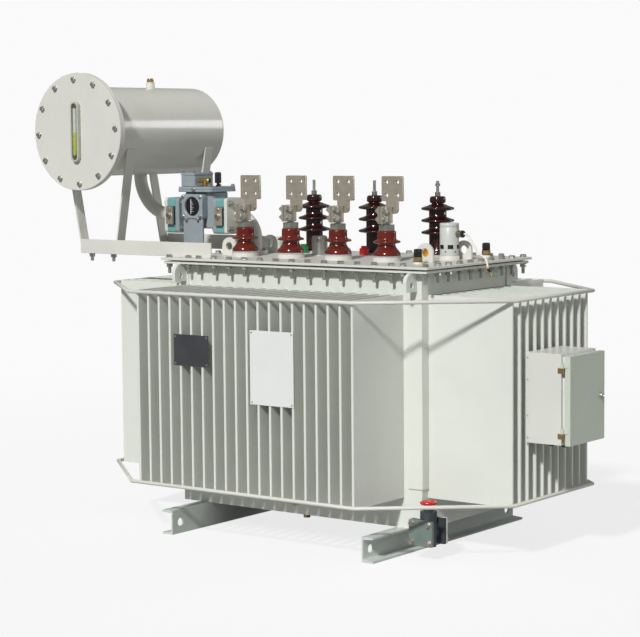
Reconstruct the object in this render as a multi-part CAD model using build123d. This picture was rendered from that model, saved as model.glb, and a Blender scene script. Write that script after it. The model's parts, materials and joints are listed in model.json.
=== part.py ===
from build123d import *
from math import atan2, degrees, hypot, pi, radians, sqrt, tan
import os

os.makedirs("parts", exist_ok=True)

# Millimetres. X runs along the tank, Y across it with the low-voltage side
# at -Y, Z up from the ground. Sizes are written once here and the pieces
# below take their places from them; the tank's centre is the working origin.

# base channels
gauge = 762
channel_height = 80
channel_flange = 43
channel_web = 5
channel_toe = 6.5
channel_root = 9.5
channel_length = 876
channel_set_back = -16
channel_shift = 7
tow_hole_radius = 13.5
tow_hole_from_end = 40
tow_hole_height = 37

# tank shell
tank_length = 974
tank_width = 533
floor_sheet = 8
wall_sheet = 5
post_sheet = 4
post_wide_leg = 56
post_narrow_leg = 37
post_side_leg = 36
post_foot_rise = 125
tank_height = 799

# cooling fins, folded from the wall sheet
fin_pitch = 45
fin_thickness = 9
fin_corner = 3
front_fin_margin = 43.3
front_fin_reach = 268.1
side_fin_reach = 305.8
fin_foot_gap = 96
fin_head_gap = 70

# rods round the fin tips
ring_radius = 6
ring_inset = 6
ring_long_overrun = 31.3
ring_side_overrun = 25
ring_corner_front = 9
ring_corner_side = 9

# rim, gasket and cover
rim_sheet = 8
rim_inset = 8
rim_land = 57
gasket_sheet = 4
gasket_outer = 32
gasket_land = 22
cover_sheet = 8
cover_overhang_x = 48
cover_overhang_y = 42.5

# lifting eyes on the tank and on the cover
tank_eye_inset = 23
tank_eye_sheet = 13
tank_eye_reach = 60
tank_eye_height = 58
tank_eye_round = 30
tank_eye_hole = 9
tank_eye_hole_drop = 38
cover_eye_near_inset = 129
cover_eye_far_inset = 145
cover_eye_y = 100
cover_eye_sheet = 10
cover_eye_width = 60
cover_eye_height = 61
cover_eye_hole = 13.5
cover_eye_hole_height = 31

# low-voltage bushings
lv_count = 4
lv_row_left_inset = 158
lv_row_right_inset = 237
lv_y = -112
lv_collar_radius = 45
lv_collar_height = 18
lv_skirt_radius = 44
lv_waist_radius = 28
lv_skirt_height = 31
lv_shed_height = 41
lv_shed_thickness = 6
lv_body_radius = 30
lv_body_foot = 50
lv_body_top = 80
lv_nut_flats = 48
lv_nut_height = 19
lv_stud_radius = 12
lv_stud_gap = 4
lv_clamp_radius = 19
lv_clamp_height = 54
lv_clamp_slot = 2
lv_ear_width = 17
lv_ear_reach = 38
lv_neck_width = 42
lv_neck_sheet = 10
lv_neck_rise = 16
lv_neck_lap = 24
lv_neck_corner = 14
lv_flag_back = 25
lv_flag_size = 80
lv_flag_hole = 6.75
lv_flag_spacing = 42
lv_flag_shift = 10
lv_flag_corner = 5

# high-voltage bushings
hv_count = 3
hv_row_left_inset = 214.5
hv_row_right_inset = 248.5
hv_y = 200
hv_collar_radius = 46
hv_collar_height = 5
hv_body_radius = 29
hv_shed_radius = 55
hv_shed_thickness = 8
hv_shed_slope = 13
hv_first_shed = 73
hv_shed_pitch = 39.5
hv_shed_count = 3
hv_neck_radius = 20
hv_cap_radius = 26.5
hv_cap_foot = 170
hv_cap_height = 23
hv_stud_radius = 5
hv_stud_nut = 9
hv_stud_nut_height = 14
hv_stud_height = 51

# earthing clips at the high-voltage bushings
clip_width = 30
clip_depth = 18
clip_height = 30
clip_offset = 62

# small fittings on the cover
tap_cap_from_left = 331
tap_cap_y = 74
tap_cap_radius = 27.5
tap_cap_height = 65
relief_from_right = 105
relief_y = 50
relief_base_radius = 33
relief_base_height = 14
relief_radius = 31
relief_height = 105
gland_radius = 12.5
gland_length = 26
gland_height = 70
cable_radius = 3.5
cable_route = (
    (10, 0, 0),
    (22, 0, -16),
    (46, -4, -47),
    (66, -12, -63),
    (90, -24, -69),
    (107, -32, -86),
    (110, -34, -106),
)
thermometer_from_right = 79
thermometer_rows = (-170, 230)
thermometer_boss_radius = 16
thermometer_boss_height = 22
thermometer_cap_radius = 13
thermometer_cap_height = 25

# oil conservator, a drum lying along Y
drum_from_tank = 389
drum_rise = 421
drum_radius = 153
drum_wall = 4
drum_front = -317
drum_length = 575
drum_cap_sheet = 5
drum_flange_land = 47
drum_flange_sheet = 12
drum_cover_sheet = 12
filler_y = 40
filler_radius = 15
filler_height = 22
filler_plug_radius = 11
filler_plug_height = 14
gauge_width = 36
gauge_height = 205
gauge_depth = 15

# beams and legs that carry the conservator
beam_height = 49
beam_leg = 45
beam_sheet = 5
beam_front_y = -250
beam_back_y = 215
beam_past_drum = 79
beam_on_cover = 122
leg_width = 40
leg_sheet = 6
leg_inner_spread = 78
leg_outer_spread = 74
leg_inner_head_drop = 60
leg_outer_head_drop = 32

# oil pipe with the gas relay between two valves
line_y = -20
line_rise = 130
pipe_radius = 22.5
pipe_wall = 3.5
flange_size = 122
flange_corner = 10
pale_flange_sheet = 13
valve_length = 35
relay_flange_sheet = 17
relay_body_length = 149
drum_pipe_straight = 26
relay_half_depth = 44
relay_body_rise = 81
relay_body_drop = 44
flap_width = 87
flap_length = 95
flap_sheet = 10
flap_front = 70
window_width = 93
window_height = 84
window_shift = -5
window_rise = 32
window_reach = 75
window_hole = 31
window_glass = 20
lid_length = 152
lid_depth = 144
lid_sheet = 18
lid_shift_x = -5
lid_shift_y = 9
relay_box_from_lid_end = 7
relay_box_from_lid_front = 11
relay_box_length = 64
relay_box_depth = 105
relay_box_height = 48
knob_radius = 12
knob_height = 50
knob_from_lid_end = 1
knob_from_lid_front = 56
elbow_radius = 75
foot_flange_radius = 41
foot_flange_sheet = 14
drum_bend_radius = 138
lever_length = 62
lever_width = 30
lever_sheet = 7
lever_gap = 6
spindle_radius = 8
spindle_clearance = 0.05
spindle_depth = 24
spindle_end_gap = 1
lever_nut_radius = 9
lever_nut_height = 8

# plates on the fin tips
plate_sheet = 2
dark_plate_left = -289
dark_plate_width = 143
dark_plate_drop = 135
dark_plate_height = 100
white_plate_left = 22
white_plate_width = 170
white_plate_drop = 107
white_plate_height = 232

# terminal box on the right-hand fins
box_depth = 124
box_width = 210
box_left_y = -153
box_drop = 166
box_height = 277
box_sheet = 2
lip_inset = 10
lip_reach = 16
door_gap = 13
door_depth = 18
door_sheet = 2
door_drop = 6
hinge_radius = 5
hinge_pin_radius = 2.5
hinge_pin_clearance = 0.05
hinge_height = 32
hinge_leaf_gap = 0.5
hinge_leaf_sheet = 2
hinge_leaf_length = 18
hinge_outset = 5
hinge_from_end = 20
lock_radius = 9
lock_height = 8
lock_from_edge = 24
box_gland_radius = 12
box_gland_height = 22
box_gland_reaches = (30, 75)

# drain valve at the front right-hand corner
drain_bend = 48
drain_rise = 8
valve_set_back = 5.5
valve_over_flanges = 90
valve_plate_width = 85
valve_plate_height = 80
blank_sheet = 14
valve_flange_sheet = 12
tank_flange_sheet = 9
valve_body_radius = 31
drain_pipe_radius = 24
bonnet_radius = 26
bonnet_height = 62
gland_nut_radius = 14
gland_nut_height = 10
port_radius = 13
port_reach = 58
port_drop = 8
valve_stem_radius = 5
valve_stem_clearance = 0.05
valve_stem_depth = 20
valve_stem_end_gap = 1
wheel_radius = 26.5
wheel_rim_radius = 5
wheel_hub_radius = 9
wheel_rise = 26
wheel_spoke = 7
wheel_spoke_count = 4

# drain plug and earth stud
plug_x = -51
plug_y = -150
plug_radius = 15
plug_height = 34
earth_x = -14
earth_rise = 38
earth_radius = 13
earth_reach = 12

# sizes that follow
half_length = tank_length / 2
half_width = tank_width / 2
wall_x = half_length - post_sheet
wall_y = half_width - post_sheet
front_tip = wall_y + front_fin_reach
side_tip = wall_x + side_fin_reach
floor_top = channel_height + floor_sheet
rim_underside = channel_height + tank_height
post_foot = channel_height + post_foot_rise
fin_foot = channel_height + fin_foot_gap
fin_top = rim_underside - fin_head_gap
fin_height = fin_top - fin_foot
rim_top = rim_underside + rim_sheet
gasket_top = rim_top + gasket_sheet
cover_top = gasket_top + cover_sheet
cover_x = half_length + cover_overhang_x
cover_y = half_width + cover_overhang_y
rim_x = cover_x - rim_inset
rim_y = cover_y - rim_inset

# as many fins as the walls take between the corner posts
front_fin_far_margin = post_wide_leg + fin_thickness / 2
front_fin_run = tank_length - front_fin_margin - front_fin_far_margin
front_fin_count = int(front_fin_run / fin_pitch) + 1
side_fins_each_way = int((half_width - post_side_leg - fin_thickness / 2) / fin_pitch)
front_fins = [front_fin_margin - half_length + fin_pitch * i for i in range(front_fin_count)]
side_fins = [fin_pitch * i for i in range(-side_fins_each_way, side_fins_each_way + 1)]


# evenly spaced places along X, the outer ones at set distances from the tank's ends
def spots_in_row(left_inset, right_inset, count, y):
    pitch = (tank_length - left_inset - right_inset) / (count - 1)
    return [(left_inset - half_length + pitch * i, y) for i in range(count)]


lv_spots = spots_in_row(lv_row_left_inset, lv_row_right_inset, lv_count, lv_y)
hv_spots = spots_in_row(hv_row_left_inset, hv_row_right_inset, hv_count, hv_y)
tap_cap_x = tap_cap_from_left - half_length
relief_x = half_length - relief_from_right
thermometer_x = half_length - thermometer_from_right
thermometer_spots = [(thermometer_x, y) for y in thermometer_rows]
floor_align = (Align.CENTER, Align.CENTER, Align.MIN)
nodes = {}


# a box between two corners
def block(low, high):
    size = [b - a for a, b in zip(low, high)]
    return Pos(*low) * Box(*size, align=(Align.MIN,) * 3)


# a cylinder that starts at a point and runs along +Z, +X or +Y
def rod(start, radius, length, along="z"):
    turn = {"z": Rot(0, 0, 0), "x": Rot(0, 90, 0), "y": Rot(-90, 0, 0)}[along]
    return Pos(*start) * turn * Cylinder(radius, length, align=floor_align)


# a six-sided bar standing on a point
def hexagon(start, flats, height):
    shape = RegularPolygon(flats / 2, 6, major_radius=False)
    return Pos(*start) * extrude(shape, height)


# a turned solid standing on a point, from radius and height pairs
def turned(start, outline):
    points = [(0, outline[0][1])] + list(outline) + [(0, outline[-1][1])]
    face = make_face(Plane.XZ * Polyline(*points, close=True))
    return Pos(*start) * revolve(face, Axis.Z)


# a straight flat bar between two points of the X-Z plane, wide along Y
def slanted_bar(foot, head, y_low, y_high, sheet):
    run = head[0] - foot[0]
    rise = head[1] - foot[1]
    length = hypot(run, rise)
    tilt = degrees(atan2(run, rise))
    bar = Box(sheet, y_high - y_low, length, align=(Align.CENTER, Align.MIN, Align.MIN))
    return Pos(foot[0], y_low, foot[1]) * Rot(0, tilt, 0) * bar


# like pieces that share a node
def together(solids):
    return Compound(children=[s for shape in solids for s in shape.solids()])


# base channels, webs inward and flanges outward
def base_channel(side):
    profile = Polyline(
        (0, 0),
        (channel_flange, 0),
        (channel_flange, channel_toe),
        (channel_web, channel_root),
        (channel_web, channel_height - channel_root),
        (channel_flange, channel_height - channel_toe),
        (channel_flange, channel_height),
        (0, channel_height),
        close=True,
    )
    bar = extrude(make_face(Plane.XZ * profile), channel_length / 2, both=True)
    for end in (-1, 1):
        hole_y = end * (channel_length / 2 - tow_hole_from_end)
        bar -= rod((-1, hole_y, tow_hole_height), tow_hole_radius, channel_web + 2, "x")
    if side < 0:
        bar = mirror(bar, Plane.YZ)
    return Pos(side * gauge / 2 + channel_shift, channel_set_back, 0) * bar


nodes["base_channels"] = together([base_channel(side) for side in (-1, 1)])

# tank floor and walls
nodes["tank_floor"] = block(
    (-wall_x, -wall_y, channel_height),
    (wall_x, wall_y, floor_top),
)


# a fin standing out along +X from the origin, its outer edge rounded
def fin(reach):
    plan = Rectangle(reach, fin_thickness, align=(Align.MIN, Align.CENTER))
    outer = plan.vertices().sort_by(Axis.X)[-2:]
    return extrude(fillet(outer, fin_corner), fin_height)


def finned_wall(low, high, face, turn, places, reach):
    wall = block(low, high)
    one_fin = fin(reach)
    fins = []
    for place in places:
        spot = (place, face) if turn in (-90, 90) else (face, place)
        fins.append(Pos(spot[0], spot[1], fin_foot) * Rot(0, 0, turn) * one_fin)
    return wall + fins


nodes["front_wall"] = finned_wall(
    (-wall_x, -wall_y, floor_top),
    (wall_x, -wall_y + wall_sheet, rim_underside),
    -wall_y,
    -90,
    front_fins,
    front_fin_reach,
)
nodes["back_wall"] = finned_wall(
    (-wall_x, wall_y - wall_sheet, floor_top),
    (wall_x, wall_y, rim_underside),
    wall_y,
    90,
    [-x for x in front_fins],
    front_fin_reach,
)
nodes["right_wall"] = finned_wall(
    (wall_x - wall_sheet, -wall_y + wall_sheet, floor_top),
    (wall_x, wall_y - wall_sheet, rim_underside),
    wall_x,
    0,
    side_fins,
    side_fin_reach,
)
nodes["left_wall"] = finned_wall(
    (-wall_x, -wall_y + wall_sheet, floor_top),
    (-wall_x + wall_sheet, wall_y - wall_sheet, rim_underside),
    -wall_x,
    180,
    side_fins,
    side_fin_reach,
)


# folded strips that close the four upright corners
def corner_post(x_side, y_side):
    long_leg = post_narrow_leg if x_side == y_side else post_wide_leg
    front_leg = block(
        (half_length - long_leg, wall_y, post_foot),
        (half_length, half_width, rim_underside),
    )
    side_leg = block(
        (wall_x, half_width - post_side_leg, post_foot),
        (half_length, half_width, rim_underside),
    )
    post = front_leg + side_leg
    if x_side < 0:
        post = mirror(post, Plane.YZ)
    if y_side < 0:
        post = mirror(post, Plane.XZ)
    return post


corners = [(x, y) for x in (-1, 1) for y in (-1, 1)]
nodes["corner_posts"] = together([corner_post(x, y) for x, y in corners])


# a flat rectangular ring round the tank's centre
def frame_plate(outer_x, outer_y, land, foot, top):
    ring = block((-outer_x, -outer_y, foot), (outer_x, outer_y, top))
    inner_x = outer_x - land
    inner_y = outer_y - land
    return ring - block((-inner_x, -inner_y, foot - 1), (inner_x, inner_y, top + 1))


nodes["tank_rim"] = frame_plate(rim_x, rim_y, rim_land, rim_underside, rim_top)
nodes["cover_gasket"] = frame_plate(
    cover_x - gasket_outer,
    cover_y - gasket_outer,
    gasket_land,
    rim_top,
    gasket_top,
)
nodes["cover_plate"] = block((-cover_x, -cover_y, gasket_top), (cover_x, cover_y, cover_top))


# a rod bent round the fin tips, the back half a half turn of the front half
def fin_ring(height):
    tip_y = front_tip + ring_radius
    tip_x = side_tip + ring_radius
    half = [
        (front_fins[0] - ring_long_overrun, -tip_y),
        (front_fins[-1] + ring_corner_front, -tip_y),
        (tip_x, side_fins[0] - ring_corner_side),
        (tip_x, side_fins[-1] + ring_side_overrun),
    ]
    corners_on_ring = half + [(-x, -y) for x, y in half]
    start = (0, -tip_y, height)
    loop = [start] + [(x, y, height) for x, y in corners_on_ring[1:] + corners_on_ring[:1]]
    path = Polyline(*loop, start)
    section = Plane(origin=start, z_dir=(1, 0, 0)) * Circle(ring_radius)
    return sweep(section, path, transition=Transition.RIGHT)


nodes["fin_rings"] = together([fin_ring(fin_top - ring_inset), fin_ring(fin_foot + ring_inset)])


# lifting eyes on the long walls, plates across the wall
tank_eye_x = half_length - tank_eye_inset


def tank_eye(x_side, y_side):
    foot = rim_underside - tank_eye_height
    plate = block(
        (tank_eye_x - tank_eye_sheet / 2, half_width, foot),
        (tank_eye_x + tank_eye_sheet / 2, half_width + tank_eye_reach, rim_underside),
    )
    outer = plate.edges().filter_by(Axis.X).group_by(Axis.Z)[-1].sort_by(Axis.Y)[-1]
    plate = fillet(outer, tank_eye_round)
    hole_y = half_width + tank_eye_reach / 2
    hole_z = rim_underside - tank_eye_hole_drop
    start = (tank_eye_x - tank_eye_sheet, hole_y, hole_z)
    plate -= rod(start, tank_eye_hole, 2 * tank_eye_sheet, "x")
    if x_side < 0:
        plate = mirror(plate, Plane.YZ)
    if y_side < 0:
        plate = mirror(plate, Plane.XZ)
    return plate


nodes["tank_lifting_eyes"] = together([tank_eye(x, y) for x, y in corners])


# lifting eyes on the cover, plates along X with a half-round head
def cover_eye(x, y):
    shoulder = cover_eye_height - cover_eye_width / 2
    half = cover_eye_width / 2
    plate = block(
        (x - half, y - cover_eye_sheet / 2, cover_top),
        (x + half, y + cover_eye_sheet / 2, cover_top + shoulder),
    )
    start = (x, y - cover_eye_sheet / 2, cover_top + shoulder)
    plate += rod(start, half, cover_eye_sheet, "y")
    hole = (x, y - cover_eye_sheet, cover_top + cover_eye_hole_height)
    return plate - rod(hole, cover_eye_hole, 2 * cover_eye_sheet, "y")


cover_eye_near_x = cover_x - cover_eye_near_inset
cover_eye_far_x = cover_x - cover_eye_far_inset
cover_eye_spots = [
    (-cover_eye_near_x, -cover_eye_y),
    (cover_eye_far_x, -cover_eye_y),
    (cover_eye_near_x, cover_eye_y),
    (-cover_eye_far_x, cover_eye_y),
]
nodes["cover_lifting_eyes"] = together([cover_eye(x, y) for x, y in cover_eye_spots])

# bushings: collars on the cover, porcelain, stud and terminal
lv_seat = cover_top + lv_collar_height
hv_seat = cover_top + hv_collar_height
nodes["bushing_collars"] = together(
    [rod((x, y, cover_top), lv_collar_radius, lv_collar_height) for x, y in lv_spots]
    + [rod((x, y, cover_top), hv_collar_radius, hv_collar_height) for x, y in hv_spots]
)
lv_outline = [
    (lv_skirt_radius, 0),
    (lv_skirt_radius, 8),
    (lv_waist_radius, lv_skirt_height),
    (lv_waist_radius - 2, lv_shed_height - 2),
    (lv_skirt_radius, lv_shed_height),
    (lv_skirt_radius, lv_shed_height + lv_shed_thickness),
    (lv_body_radius, lv_body_foot),
    (lv_body_radius, lv_body_top),
]
nodes["lv_bushings"] = together([turned((x, y, lv_seat), lv_outline) for x, y in lv_spots])


def lv_stud(x, y):
    nut = hexagon((x, y, lv_seat + lv_body_top), lv_nut_flats, lv_nut_height)
    stud_foot = lv_seat + lv_body_top + lv_nut_height
    return nut + rod((x, y, stud_foot), lv_stud_radius, lv_stud_gap + lv_clamp_height)


clamp_foot = lv_seat + lv_body_top + lv_nut_height + lv_stud_gap
clamp_top = clamp_foot + lv_clamp_height
flag_foot = clamp_top + lv_neck_rise


# a clamp round the stud, its two ears at the front, with a neck and a flag of four holes
def lv_terminal(x, y):
    clamp = rod((x, y, clamp_foot), lv_clamp_radius, lv_clamp_height)
    clamp += block(
        (x - lv_ear_width / 2, y - lv_ear_reach, clamp_foot),
        (x + lv_ear_width / 2, y, clamp_top),
    )
    clamp -= rod((x, y, clamp_foot - 1), lv_stud_radius, lv_clamp_height + 2)
    clamp -= block(
        (x - lv_clamp_slot / 2, y - lv_ear_reach - 1, clamp_foot - 1),
        (x + lv_clamp_slot / 2, y - lv_stud_radius + 2, clamp_top + 1),
    )
    flag_x = x + lv_flag_shift
    flag_y = y + lv_flag_back
    neck = block(
        (flag_x - lv_neck_width / 2, y + lv_stud_radius, clamp_top - lv_neck_lap),
        (flag_x + lv_neck_width / 2, flag_y, flag_foot),
    )
    lower = neck.edges().filter_by(Axis.Y).group_by(Axis.Z)[0]
    neck = fillet(lower.sort_by(Axis.X)[-1], lv_neck_corner)
    flag = block(
        (flag_x - lv_flag_size / 2, flag_y - lv_neck_sheet, flag_foot),
        (flag_x + lv_flag_size / 2, flag_y, flag_foot + lv_flag_size),
    )
    flag = fillet(flag.edges().filter_by(Axis.Y), lv_flag_corner)
    for dx in (-1, 1):
        for dz in (-1, 1):
            hole_x = flag_x + dx * lv_flag_spacing / 2
            hole_z = flag_foot + lv_flag_size / 2 + dz * lv_flag_spacing / 2
            start = (hole_x, flag_y - 2 * lv_neck_sheet, hole_z)
            flag -= rod(start, lv_flag_hole, 3 * lv_neck_sheet, "y")
    return clamp + neck + flag


nodes["lv_terminals"] = together([lv_terminal(x, y) for x, y in lv_spots])

hv_outline = [(hv_body_radius + 6, 0), (hv_body_radius + 6, 10), (hv_body_radius, 14)]
for i in range(hv_shed_count):
    middle = hv_first_shed + hv_shed_pitch * i
    hv_outline += [
        (hv_body_radius, middle - hv_shed_thickness),
        (hv_shed_radius, middle - hv_shed_thickness / 2),
        (hv_shed_radius, middle + hv_shed_thickness / 2),
        (hv_body_radius, middle + hv_shed_slope),
    ]
hv_outline += [
    (hv_neck_radius, hv_cap_foot - 6),
    (hv_neck_radius, hv_cap_foot),
    (hv_cap_radius, hv_cap_foot),
    (hv_cap_radius, hv_cap_foot + hv_cap_height),
]
hv_top = hv_seat + hv_cap_foot + hv_cap_height
nodes["hv_bushings"] = together([turned((x, y, hv_seat), hv_outline) for x, y in hv_spots])


def hv_stud(x, y):
    stud = rod((x, y, hv_top), hv_stud_radius, hv_stud_height)
    return stud + hexagon((x, y, hv_top), 2 * hv_stud_nut, hv_stud_nut_height)


nodes["bushing_studs"] = together(
    [lv_stud(x, y) for x, y in lv_spots] + [hv_stud(x, y) for x, y in hv_spots]
)


# coloured phase clips that stand in front of the high-voltage bushings
def phase_clip(x, y):
    low = (x - clip_width / 2, y - clip_offset - clip_depth / 2, cover_top)
    high = (x + clip_width / 2, y - clip_offset + clip_depth / 2, cover_top + clip_height)
    return block(low, high)


nodes["phase_clips"] = together([phase_clip(x, y) for x, y in hv_spots])

# small fittings on the cover
nodes["tap_changer_cap"] = rod((tap_cap_x, tap_cap_y, cover_top), tap_cap_radius, tap_cap_height)
relief_foot = cover_top + relief_base_height
relief_shell = rod((relief_x, relief_y, relief_foot), relief_radius, relief_height)
relief_base = rod((relief_x, relief_y, cover_top), relief_base_radius, relief_base_height)
nodes["relief_device"] = relief_shell + relief_base
nodes["relief_cable_gland"] = rod(
    (relief_x + relief_radius, relief_y, relief_foot + gland_height),
    gland_radius,
    gland_length,
    "x",
)

# cable from the gland over the cover's edge, its points measured from the gland's end
cable_start = Vector(
    relief_x + relief_radius + gland_length,
    relief_y,
    relief_foot + gland_height,
)
cable_points = [cable_start] + [cable_start + Vector(*point) for point in cable_route]
cable_runs = [(b - a) for a, b in zip(cable_points, cable_points[1:])]
cable_bends = []
for before, after in zip(cable_runs, cable_runs[1:]):
    turn = radians(before.get_angle(after))
    cable_bends.append(0.45 * min(before.length, after.length) / tan(turn / 2))
print("relief cable bend radii", [round(radius, 1) for radius in cable_bends])
cable_line = FilletPolyline(*cable_points, radius=cable_bends)
cable_end_face = Plane(origin=cable_start, z_dir=cable_runs[0]) * Circle(cable_radius)
nodes["relief_cable"] = sweep(cable_end_face, cable_line)
print("relief cable length", round(cable_line.length, 1), "volume over section",
      round(nodes["relief_cable"].volume / (pi * cable_radius**2), 1))

nodes["thermometer_bosses"] = together(
    [
        rod((x, y, cover_top), thermometer_boss_radius, thermometer_boss_height)
        for x, y in thermometer_spots
    ]
)
nodes["thermometer_caps"] = together(
    [
        rod(
            (x, y, cover_top + thermometer_boss_height),
            thermometer_cap_radius,
            thermometer_cap_height,
        )
        for x, y in thermometer_spots
    ]
)

# conservator drum, its end plates, filler and oil gauge
drum_x = -half_length - drum_from_tank
drum_z = cover_top + drum_rise
drum_back = drum_front + drum_length
drum_flange_radius = drum_radius + drum_flange_land
drum = rod((drum_x, drum_front, drum_z), drum_radius, drum_back - drum_front, "y")
drum -= rod(
    (drum_x, drum_front - 1, drum_z),
    drum_radius - drum_wall,
    drum_back - drum_front + 2,
    "y",
)
filler_foot = drum_z + drum_radius - drum_wall / 2
filler_neck = rod((drum_x, filler_y, filler_foot), filler_radius, filler_height)
filler_neck -= rod((drum_x, drum_front - 1, drum_z), drum_radius, drum_back - drum_front, "y")
nodes["conservator_drum"] = drum + filler_neck
filler_top = filler_foot + filler_height
nodes["filler_plug"] = hexagon(
    (drum_x, filler_y, filler_top),
    2 * filler_plug_radius,
    filler_plug_height,
)
nodes["conservator_back_end"] = rod(
    (drum_x, drum_back, drum_z),
    drum_radius,
    drum_cap_sheet,
    "y",
)
flange_front = drum_front - drum_flange_sheet
flange_ring = rod((drum_x, flange_front, drum_z), drum_flange_radius, drum_flange_sheet, "y")
flange_ring -= rod(
    (drum_x, flange_front - 1, drum_z),
    drum_radius - drum_wall,
    drum_flange_sheet + 2,
    "y",
)
nodes["conservator_flange"] = flange_ring
cover_front = flange_front - drum_cover_sheet
nodes["conservator_cover"] = rod(
    (drum_x, cover_front, drum_z),
    drum_flange_radius,
    drum_cover_sheet,
    "y",
)
gauge_face = Plane(origin=(drum_x, cover_front, drum_z), z_dir=(0, -1, 0))
gauge_shape = SlotOverall(gauge_height, gauge_width)
nodes["oil_gauge"] = extrude(gauge_face * gauge_shape, gauge_depth)


# angle beams, one leg flat on the cover and the upright leg outermost
beam_left_end = drum_x - beam_past_drum
beam_right_end = beam_on_cover - half_length


def support_beam(face_y, inward):
    span = (beam_left_end, beam_right_end)
    y_low = min(face_y, face_y + inward * beam_sheet)
    upright = block(
        (span[0], y_low, cover_top),
        (span[1], y_low + beam_sheet, cover_top + beam_height),
    )
    flat_low = min(face_y, face_y + inward * beam_leg)
    flat = block(
        (span[0], flat_low, cover_top),
        (span[1], flat_low + beam_leg, cover_top + beam_sheet),
    )
    return upright + flat


nodes["support_beams"] = together([support_beam(beam_front_y, 1), support_beam(beam_back_y, -1)])
leg_foot_z = cover_top + beam_sheet
legs_in_pair = (
    (-1, leg_outer_spread, leg_outer_head_drop),
    (1, leg_inner_spread, leg_inner_head_drop),
)


# a pair of legs from a beam up to the drum
def drum_legs(y_low):
    y_high = y_low + leg_width
    outer = rod((drum_x, y_low - 1, drum_z), drum_radius, leg_width + 2, "y")
    legs = []
    for side, spread, head_drop in legs_in_pair:
        foot = (drum_x + side * spread, leg_foot_z - leg_sheet)
        head = (drum_x + side * sqrt(drum_radius**2 - head_drop**2), drum_z - head_drop)
        leg = slanted_bar(foot, head, y_low, y_high, leg_sheet)
        keep = block(
            (drum_x - drum_flange_radius, y_low - 1, leg_foot_z),
            (drum_x + drum_flange_radius, y_high + 1, drum_z),
        )
        legs.append((leg & keep) - outer)
    return legs


front_leg_y = beam_front_y + beam_sheet
back_leg_y = beam_back_y - beam_sheet - leg_width
nodes["conservator_legs"] = together(drum_legs(front_leg_y) + drum_legs(back_leg_y))


# square flange across the oil pipe
line_z = cover_top + line_rise


def square_flange(x, sheet):
    shape = RectangleRounded(flange_size, flange_size, flange_corner)
    plane = Plane(origin=(x, line_y, line_z), z_dir=(1, 0, 0))
    return extrude(plane * shape, sheet)


# the oil pipe from the drum, through a bend, to the first flange
bend_end = drum_x + drum_bend_radius
left_flange_end = bend_end + drum_pipe_straight
left_valve_end = left_flange_end + pale_flange_sheet
relay_left_end = left_valve_end + valve_length
relay_right_end = relay_left_end + 2 * relay_flange_sheet + relay_body_length
right_valve_end = relay_right_end + valve_length
right_flange_end = right_valve_end + pale_flange_sheet


# a straight length of tube
def tube(start, radius, wall, length, along):
    return rod(start, radius, length, along) - rod(start, radius - wall, length, along)


# a quarter bend of tube, its section turned about a line through a centre
def tube_bend(start, facing, centre, about, radius, wall):
    section = Plane(origin=start, z_dir=facing) * (Circle(radius) - Circle(radius - wall))
    return revolve(section, Axis(centre, about), 90)


# the pipe that leaves the drum's underside and turns towards the relay
bend_top = line_z + drum_bend_radius
drop = drum_z - drum_radius / 2 - bend_top
drum_pipe = tube((drum_x, line_y, bend_top), pipe_radius, pipe_wall, drop, "z")
drum_pipe -= rod((drum_x, drum_front, drum_z), drum_radius, drum_back - drum_front, "y")
drum_pipe += tube_bend(
    (drum_x, line_y, bend_top),
    (0, 0, 1),
    (bend_end, line_y, bend_top),
    (0, -1, 0),
    pipe_radius,
    pipe_wall,
)
drum_pipe += tube(
    (bend_end, line_y, line_z),
    pipe_radius,
    pipe_wall,
    left_flange_end - bend_end,
    "x",
)
nodes["conservator_pipe"] = drum_pipe + square_flange(left_flange_end, pale_flange_sheet)

# the pipe from the relay down to the cover
elbow_x = right_flange_end + elbow_radius
foot_top = cover_top + foot_flange_sheet
elbow = tube_bend(
    (right_flange_end, line_y, line_z),
    (1, 0, 0),
    (right_flange_end, line_y, line_z - elbow_radius),
    (0, 1, 0),
    pipe_radius,
    pipe_wall,
)
elbow += tube(
    (elbow_x, line_y, foot_top),
    pipe_radius,
    pipe_wall,
    line_z - elbow_radius - foot_top,
    "z",
)
elbow += rod((elbow_x, line_y, cover_top), foot_flange_radius, foot_flange_sheet)
nodes["cover_elbow"] = elbow + square_flange(right_valve_end, pale_flange_sheet)

# butterfly valves, each turned by a lever on its front
valve_face_y = line_y - flange_size / 2
spindle_hole_radius = spindle_radius + spindle_clearance


def valve_body(x):
    hole = (x + valve_length / 2, valve_face_y - 1, line_z)
    body = square_flange(x, valve_length)
    return body - rod(hole, spindle_hole_radius, spindle_depth + spindle_end_gap + 1, "y")


def valve_lever(x):
    middle = x + valve_length / 2
    plate_back = valve_face_y - lever_gap
    plate_front = plate_back - lever_sheet
    plate = block(
        (middle - lever_width / 2, plate_front, line_z - lever_length / 2),
        (middle + lever_width / 2, plate_back, line_z + lever_length / 2),
    )
    nut_front = plate_front - lever_nut_height
    spindle_end = valve_face_y + spindle_depth
    plate += rod((middle, plate_front, line_z), spindle_radius, spindle_end - plate_front, "y")
    return plate + rod((middle, nut_front, line_z), lever_nut_radius, lever_nut_height, "y")


nodes["oil_line_valves"] = together([valve_body(left_valve_end), valve_body(relay_right_end)])
nodes["conservator_valve_lever"] = valve_lever(left_valve_end)
nodes["tank_valve_lever"] = valve_lever(relay_right_end)

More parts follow.
